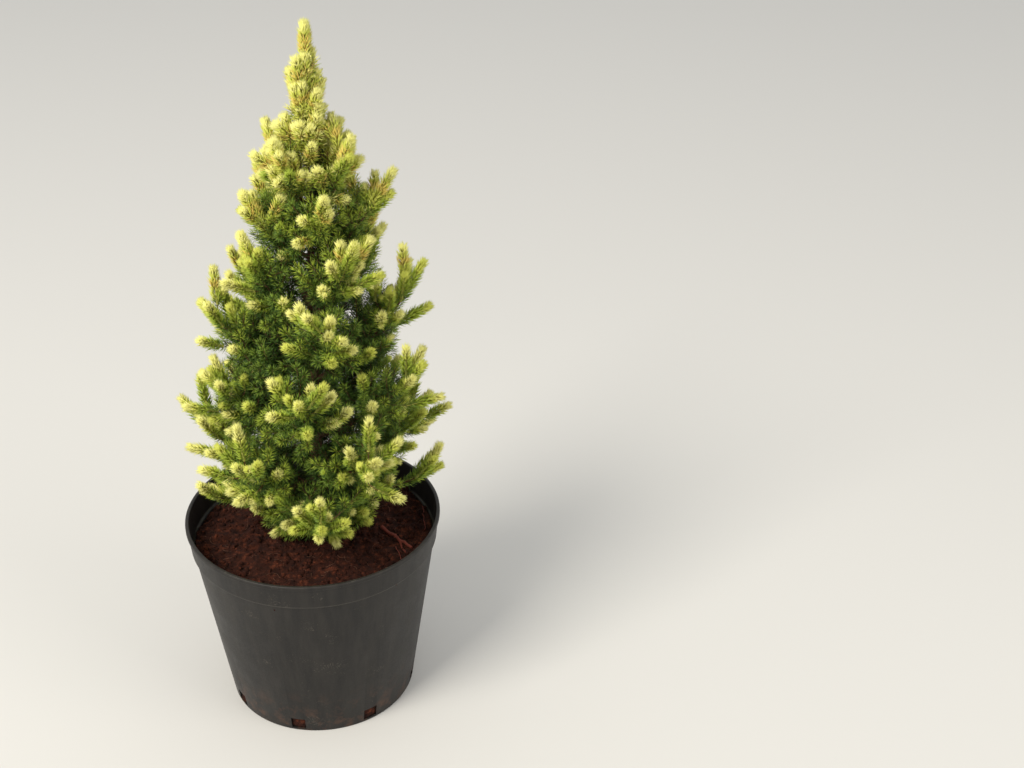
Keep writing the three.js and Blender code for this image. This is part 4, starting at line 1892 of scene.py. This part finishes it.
    def fill_layer(self, layer: Layer) -> None:
        """Fills a layer of the crown with twigs that grow out from the nearest limbs.

        Args:
            layer: the layer.
        """
        trunk = self.rule.trunk
        spire = [trunk.axis(z) for z in np.arange(self.spire_foot, trunk.top, self.spire_step)]
        marks = np.concatenate([self.rule.marks.reshape(-1, 3), spire])
        plumes = self.rule.marks[:, self.plume_marks :].reshape(-1, 3)
        z, ring = self.heights[0] + self.first_ring, 0
        while z < self.rule.top - self.crest_room * self.lead_length:
            high = self.in_spire(z)
            across = layer.spacing * mix(1, self.spire_across, high)
            spacing = layer.spacing * mix(self.crown_up, self.spire_up, high)
            round_it = 2 * math.pi * self.at_height(z, self.reaches) * layer.share
            count = max(int(round_it / across), 3)
            for number in range(count):
                stray = self.dice.uniform(-self.turn_sway, self.turn_sway)
                turn = 360 * (number + stray) / count + GOLDEN * ring
                height = z + self.dice.uniform(-self.height_sway, self.height_sway) * spacing
                reach = self.at_height(height, self.reaches)
                edge = trunk.axis(height) + outwards(turn) * reach
                near = np.linalg.norm(plumes - edge, axis=1).min()
                bare = self.at_height(height, self.recesses)
                bare *= 1 - math.exp(-((near / self.plume_width) ** 2))
                radius = reach * layer.share * (1 - bare) + self.dice.uniform(*self.reach_sway)
                tip = trunk.axis(height) + outwards(turn) * max(radius, self.least_radius)
                slope = self.at_height(height, self.slopes) + self.dice.normal(0, self.slope_sway)
                slope = math.radians(slope)
                sideways = outwards(turn + self.dice.normal(0, self.aim_sway))
                aim = sideways * math.cos(slope) + UP * math.sin(slope)
                self.fill_twig(marks, tip, aim, layer.bright)
            z += spacing
            ring += 1

    def fill_twig(self, marks: Array, tip: Array, aim: Array, bright: float) -> None:
        """Grows one twig from the best placed limb out to a tip.

        Args:
            marks: places on the limbs that a twig may leave from.
            tip: where it ends.
            aim: the direction in which it ends.
            bright: its brightness.
        """
        span = tip - marks
        away = np.linalg.norm(span, axis=1)
        with_aim = (span @ aim) / away
        short = np.where(away < self.shoot_length, self.short_cost, 0)
        best = int((away + self.turn_cost * (1 - with_aim) + short).argmin())
        if away[best] > self.longest or not self.rule.clears_pot(tip, tip, self.pot_room):
            return
        bend = tip - aim * self.fill_bend * away[best]
        fresh = self.shoot_length * self.dice.uniform(*self.fill_shoot)
        self.grow_twig(marks[best], bend, tip, bright, fresh, self.fill_side_bright)

    def grow_twig(
        self, root: Array, bend: Array, tip: Array, bright: float, fresh: float, bright_sides: float
    ) -> None:
        """Grows a twig on a bent path, with side twigs past its middle.

        Args:
            root: where it leaves the limb.
            bend: point that its path bends towards.
            tip: where it ends.
            bright: its brightness.
            fresh: length of the new shoot at its end.
            bright_sides: brightness of its side twigs.
        """
        s = np.linspace(0, 1, self.twig_points)[:, None]
        path = bent(root, bend, tip, s)
        length = float(np.linalg.norm(np.diff(path, axis=0), axis=1).sum())
        if self.exposure(tip) > self.at_height(tip[2], self.limits):
            return
        high = self.in_spire(tip[2])
        bright *= self.at_height(tip[2], self.pales)
        if self.exposure(tip) > 1.0:
            bright = 1.0
        lit = self.dice.uniform() < mix(bright, 1 if bright else 0, high)
        fresh = fresh * self.dice.uniform(*self.fresh_sway) * mix(1, self.spire_fresh, high)
        fresh = min(fresh, length * self.most_fresh)
        self.finish_twig(path, fresh, self.twig_girth, 1.0, lit)
        start = self.dice.uniform(0, 360)
        count = int(np.clip(length / self.side_every, 1, mix(self.most_sides, 1, high)))
        for twig in range(count):
            share = mix(*self.side_shares, (twig + 0.5) / count)
            at = points_at(path, s[:, 0], share)
            reach = self.dice.uniform(*self.side_reach)
            soft = mix(bright_sides, self.spire_side_bright, high)
            ahead, roll = unit(path[-1] - path[-3]), start + GOLDEN * twig
            self.grow_side(at, ahead, roll, reach, self.small_side, soft)

    def grow_side(
        self, at: Array, ahead: Array, roll: float, reach: float, habit: SideHabit, bright: float
    ) -> None:
        """Grows a side twig.

        Args:
            at: where it leaves the twig or limb.
            ahead: direction of that twig or limb.
            roll: the side that it leaves on, in degrees round it.
            reach: its length.
            habit: how it grows.
            bright: its brightness.
        """
        plume, roll = habit is self.plume_side, math.radians(roll)
        side = unit(np.cross(ahead, UP + self.off_upright))
        out = side * math.cos(roll) + np.cross(ahead, side) * math.sin(roll)
        opened = math.radians(self.dice.uniform(*habit.opening))
        aim = unit(ahead * math.cos(opened) + out * math.sin(opened) + UP * habit.lift)
        end = at + aim * reach
        if not self.rule.clears_pot(at, end, self.pot_room) or self.hangs_low(end):
            return
        steps = np.linspace(0, 1, self.side_points)[:, None]
        curve = at + (end - at) * steps + UP * self.side_sag * reach * (steps**2 - steps)
        shown, deal = self.exposure(end), self.dice.uniform()
        outside = shown > self.always_soft
        lit = shown > self.soft_from and deal < (1 if outside and plume else bright)
        if shown > self.at_height(end[2], self.limits) or (outside and not lit):
            return
        girth, fresh, size = self.side_girth, min(habit.shoot, reach * self.most_fresh), habit.size
        if shown > self.bud_from and not lit and deal < bright + self.bud_share:
            fresh, size, lit = self.bud_length, self.bud_size, True
        self.finish_twig(curve, fresh, girth, size, lit)

    def finish_twig(self, path: Array, fresh: float, girth: float, size: float, lit: bool) -> None:
        """Gives a twig its wood and its needles, older ones first and then the new shoot's.

        Args:
            path: points of the twig.
            fresh: length of this year's shoot at its end.
            girth: radius of its root.
            size: length of its needles against a main twig's.
            lit: whether the shoot is soft and pale, or already green.
        """
        along = lengths_along(path)
        cut, main = along[-1] - fresh, girth > self.main_girth
        old = points_at(path, along, np.linspace(0, cut, self.old_points if main else 2))
        new = points_at(path, along, np.array([cut, along[-1]]))
        thin = max(self.taper * girth, self.thinnest)
        (self.old_twigs if main else self.side_twigs).add(old, girth, thin)
        if lit:
            self.new_twigs.add(new, *(end * size for end in self.soft_girths))
        else:
            self.side_twigs.add(new, thin, self.tip_girth)
        shown, z = self.exposure(path[-1]), path[-1][2]
        style = Growth.INNER if shown < self.sparse_under else Growth.LAST_YEAR
        deep = np.interp(z, self.shade_heights, self.shaded_under)
        if shown < deep:
            older, newer = Dress.SHADED, Dress.LEAFY
        elif shown < deep + self.leafy_band or self.dice.uniform() < self.leafy_share:
            older, newer = Dress.LEAFY, Dress.OPEN
        else:
            older, newer = Dress.OPEN, Dress.BRIGHT
        if self.dice.uniform() < self.in_spire(z):
            older, newer = Dress.LIME_SHOOT, Dress.LEMON_SHOOT
        self.clothe(old[1:] if main else old, style, older, 1.0)
        if lit:
            self.clothe(new, Growth.SOFT_SHOOT, self.choose_shoot(z, size, shown), size)
        else:
            self.clothe(new, style, newer, 1.0)

    def choose_shoot(self, z: float, size: float, shown: float) -> Dress:
        """Deals a soft shoot its tints.

        Args:
            z: height of its end.
            size: length of its needles against a main twig's.
            shown: how near the crown's outside its end lies.

        Returns:
            Its dress: more golden high in the crown, and never plain green outside it.
        """
        if self.dice.uniform() < np.interp(z, self.golden_heights, self.golden_shares):
            return Dress.GOLDEN_SHOOT
        deal, kind = self.dice.uniform(), int(size != 1)
        if shown < self.green_under and deal < self.green_deals[kind]:
            return Dress.GREEN_SHOOT
        if deal < self.lime_deals[kind]:
            return Dress.LIME_SHOOT
        return Dress.LEMON_SHOOT if deal < self.lemon_deal else Dress.CREAMY_SHOOT

    def clothe(self, path: Array, growth: Growth, dress: Dress, size: float) -> None:
        """Sets needles round a stretch of twig and over its end.

        Args:
            path: points of the stretch.
            growth: how its needles stand.
            dress: its tints from root to tip.
            size: length of its needles against the growth's own.
        """
        style, dice = growth.value, self.dice
        along, steps = lengths_along(path), np.diff(path, axis=0)
        body = max(int(style.per_mm * along[-1]), self.fewest)
        count = body + style.closing
        numbers = np.arange(count)
        place = ((numbers + dice.uniform(*self.place_sway, count)) / body) ** self.crowding
        place[body:] = dice.uniform(self.closing_from, 1, style.closing)
        at = place * along[-1]
        root = points_at(path, along, at)
        ahead = unit(steps)[np.clip(np.searchsorted(along, at) - 1, 0, len(steps) - 1)]
        side = unit(np.cross(ahead, NEARLY_UP))
        roll = GOLDEN * numbers + dice.uniform(-self.roll_sway, self.roll_sway, count)
        roll = np.radians(roll)[:, None]
        out = side * np.cos(roll) + np.cross(ahead, side) * np.sin(roll)
        opened = mix(style.open_root, style.open_end, place) + dice.normal(0, self.open_sway, count)
        narrow = math.cos(math.radians(style.open_end))
        opened[body:] = np.degrees(np.arccos(dice.uniform(narrow, 1, style.closing)))
        opened = np.radians(opened)[:, None]
        aim = unit(ahead * np.cos(opened) + out * np.sin(opened))
        swell = np.interp(place, (0, 0.5, 1), (style.root_size, 1, style.end_size))
        length = style.length * size * swell * dice.uniform(*self.length_sway, count)
        scale = np.column_stack([np.full(count, style.width)] * 2 + [length])
        layers = len(dress.value)
        shade = place * layers + np.where(numbers < body, *self.blends) * dice.uniform(-1, 1, count)
        shade = np.clip(shade.astype(int), 0, layers - 1)
        rows = np.column_stack([root, aim, scale])
        clear = self.clear_of_pot(root + aim * length[:, None])
        for number, tint in enumerate(dress.value):
            self.needles[tint].append(rows[clear & (shade == number)])

    def clear_of_pot(self, tips: Array) -> Array:
        """Marks the needles that stay out of the compost and the pot's wall.

        Args:
            tips: their tips, one row each.

        Returns:
            True for each needle that does.
        """
        away, z = np.hypot(tips[:, 0], tips[:, 1]), tips[:, 2]
        pot = self.rule.pot
        in_wall = (away > pot.shoulder_radius - self.wall_room) & (z < pot.height + self.rim_room)
        return ~in_wall & (z > self.rule.trunk.foot + self.soil_room)

    def needle_tree(self) -> NodeTree:
        """Makes the geometry tree that sets a needle on every point.

        Returns:
            The tree. Its needles have four faces and are widest half way along.
        """
        tree, given, out = new_geometry_tree(
            "needles",
            {
                "Widest": ("NodeSocketFloat", 0.5),
                "Depth": ("NodeSocketFloat", 0.6),
                "Seed": ("NodeSocketInt", SEED),
                "Material": ("NodeSocketMaterial", None),
            },
        )
        points, widest, thick, seed, material = given.outputs[:5]
        solid = add_node(
            tree,
            "GeometryNodeMeshCone",
            {"Vertices": 3, "Radius Top": 0.0, "Radius Bottom": 1.0, "Depth": 1.0},
            fill_type="NGON",
        )
        # The cone's corners move to the needle's root, its two sides and its tip. Middle is 1 at
        # the two sides, where x is -1/2, and 0 at the root, where x is 1, and at the tip.
        place = add_node(tree, "GeometryNodeInputPosition")
        x, y, z = add_node(tree, "ShaderNodeSeparateXYZ", {0: place}).outputs
        middle = 1.0
        for operation, value in (("SUBTRACT", x), ("SUBTRACT", z), ("MULTIPLY", 1 / 1.5)):
            middle = add_node(tree, "ShaderNodeMath", {0: middle, 1: value}, operation=operation)
        behind, across = [
            add_node(tree, "ShaderNodeMath", {0: a, 1: b}, operation="MULTIPLY")
            for a, b in ((thick, -1.0), (y, 3**-0.5))
        ]
        back = add_node(tree, "ShaderNodeMath", {0: middle, 1: behind}, operation="MULTIPLY")
        placing = {0: middle, 1: widest, 2: z}
        along = add_node(tree, "ShaderNodeMath", placing, operation="MULTIPLY_ADD")
        placed = add_node(tree, "ShaderNodeCombineXYZ", {0: back, 1: across, 2: along})
        needle = add_node(tree, "GeometryNodeSetPosition", {"Geometry": solid, "Position": placed})
        aim, size = [
            add_node(
                tree, "GeometryNodeInputNamedAttribute", {"Name": name}, data_type="FLOAT_VECTOR"
            )
            for name in ("aim", "size")
        ]
        turned = add_node(tree, "FunctionNodeAlignRotationToVector", {"Vector": aim}, axis="Z")
        angle = add_node(tree, "FunctionNodeRandomValue", {3: 2 * math.pi, "Seed": seed}).outputs[1]
        about = {"Axis": (0.0, 0.0, 1.0), "Angle": angle}
        roll = add_node(tree, "FunctionNodeAxisAngleToRotation", about)
        rolling = {"Rotation": turned, "Rotate By": roll}
        rolled = add_node(tree, "FunctionNodeRotateRotation", rolling, rotation_space="LOCAL")
        needles = add_node(
            tree,
            "GeometryNodeInstanceOnPoints",
            {"Points": points, "Instance": needle, "Rotation": rolled, "Scale": size},
        )
        finish_tree(tree, needles, material, out)
        return tree

    def build_needles(self, masses: list[str]) -> None:
        """Makes the needles, one row of pieces for each tint.

        Args:
            masses: nodes of the frame that they stand for.
        """
        tree = self.needle_tree()
        for tint, rows in self.needles.items():
            rows = np.concatenate(rows)
            finish = WaxySpruceNeedle(tint).material()
            parts = math.ceil(len(rows) / self.needle_limit)
            for number, part in enumerate(np.array_split(rows, parts)):
                name = f"needles_{tint.value[0]}" + (f"_{number + 1}" if parts > 1 else "")
                base = bpy.data.meshes.new(name)
                base.vertices.add(len(part))
                base.vertices.foreach_set("co", (part[:, :3] * MM).ravel())
                for label, columns in (("aim", part[:, 3:6]), ("size", part[:, 6:] * MM)):
                    data = base.attributes.new(label, "FLOAT_VECTOR", "POINT").data
                    data.foreach_set("vector", columns.ravel())
                piece = bake_nodes(name, base, tree, {"Material": finish})
                keep_piece(piece, masses)


@dataclass(frozen=True)
class Studio:
    """Camera at the photograph's viewing angle, pale floor and soft light. Places in mm."""

    place: tuple = (203.0, -1266.0, 1092.0)
    pitch: float = 29.89
    roll: float = 0.60
    lens: float = 52.45
    sensor: float = 36.0
    floor_size: float = 80000.0
    floor_code: str = "#cfcdc8"
    floor_roughness: float = 0.9
    sky_code: str = "#e6e8ea"
    sky_strength: float = 0.85
    sun_code: str = "#fffaf0"
    # Lights: where each stands, its side, and its power in watts
    lights: tuple = (
        ("key_light", (-2000, -2300, 3500), 1900, 190),
        ("fill_light", (2600, -1400, 2000), 1800, 28),
    )
    # Height that the lights face
    lit_height: float = 350.0

    def build(self) -> None:
        """Makes the camera, the floor and the lights."""
        self.set_camera()
        scene = bpy.context.scene
        scene.view_settings.view_transform = "Standard"
        half = self.floor_size / 2
        corners = [(-half, -half, 0), (half, -half, 0), (half, half, 0), (-half, half, 0)]
        mesh = mesh_from("studio_floor", np.array(corners), [(0, 1, 2, 3)])
        floor = link_object("studio_floor", mesh)
        finish = PlainMatt("pale_matt_floor", self.floor_code, self.floor_roughness)
        floor.data.materials.append(finish.material())
        scene.world = bpy.data.worlds.new("soft_sky")
        scene.world.use_nodes = True
        sky = scene.world.node_tree.nodes["Background"].inputs
        sky["Color"].default_value = linear(self.sky_code)
        sky["Strength"].default_value = self.sky_strength
        for light in self.lights:
            self.add_light(*light)

    def set_camera(self) -> None:
        """Places the camera by its calibrated pitch and roll."""
        pitch, roll = math.radians(self.pitch), math.radians(self.roll)
        right = Vector((1, 0, 0))
        up = Vector((0, math.sin(pitch), math.cos(pitch)))
        back = Vector((0, -math.cos(pitch), math.sin(pitch)))
        across = math.cos(roll) * right + math.sin(roll) * up
        above = -math.sin(roll) * right + math.cos(roll) * up
        data = bpy.data.cameras.new("front_camera")
        data.lens, data.sensor_width, data.sensor_fit = self.lens, self.sensor, "HORIZONTAL"
        camera = bpy.data.objects.new("front_camera", data)
        turned = Matrix((across, above, back)).transposed().to_4x4()
        camera.matrix_world = Matrix.Translation(Vector(self.place) * MM) @ turned
        bpy.context.scene.collection.objects.link(camera)
        bpy.context.scene.camera = camera

    def add_light(self, name: str, place: tuple, size: float, power: float) -> None:
        """Adds a square soft light that faces the crown.

        Args:
            name: its name.
            place: where it stands.
            size: its side.
            power: its power in watts.
        """
        data = bpy.data.lights.new(name, "AREA")
        data.shape, data.size, data.energy = "SQUARE", size * MM, power
        data.color = linear(self.sun_code)[:3]
        light = bpy.data.objects.new(name, data)
        spot = Vector(place) * MM
        aim = Vector((0, 0, self.lit_height * MM)) - spot
        turned = aim.to_track_quat("-Z", "Y").to_matrix().to_4x4()
        light.matrix_world = Matrix.Translation(spot) @ turned
        bpy.context.scene.collection.objects.link(light)


def main() -> None:
    """Builds the pot, the compost, the wood, the crown and the studio, in that order."""
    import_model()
    _, pot_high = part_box("pot")
    pot = NurseryPot(height=pot_high[2] / MM, rim_radius=pot_high[0] / MM)
    pot.build()
    Compost(pot).build()
    trunk_low, trunk_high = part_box("trunk")
    trunk = Trunk(foot=trunk_low[2] / MM, top=trunk_high[2] / MM)
    rule = GrowthRule(trunk, pot)
    Wood(rule).build()
    Crown(rule).build()
    Studio().build()
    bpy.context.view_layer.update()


if __name__ == "__main__":
    logging.basicConfig(level=logging.INFO, format="%(message)s")
    main()
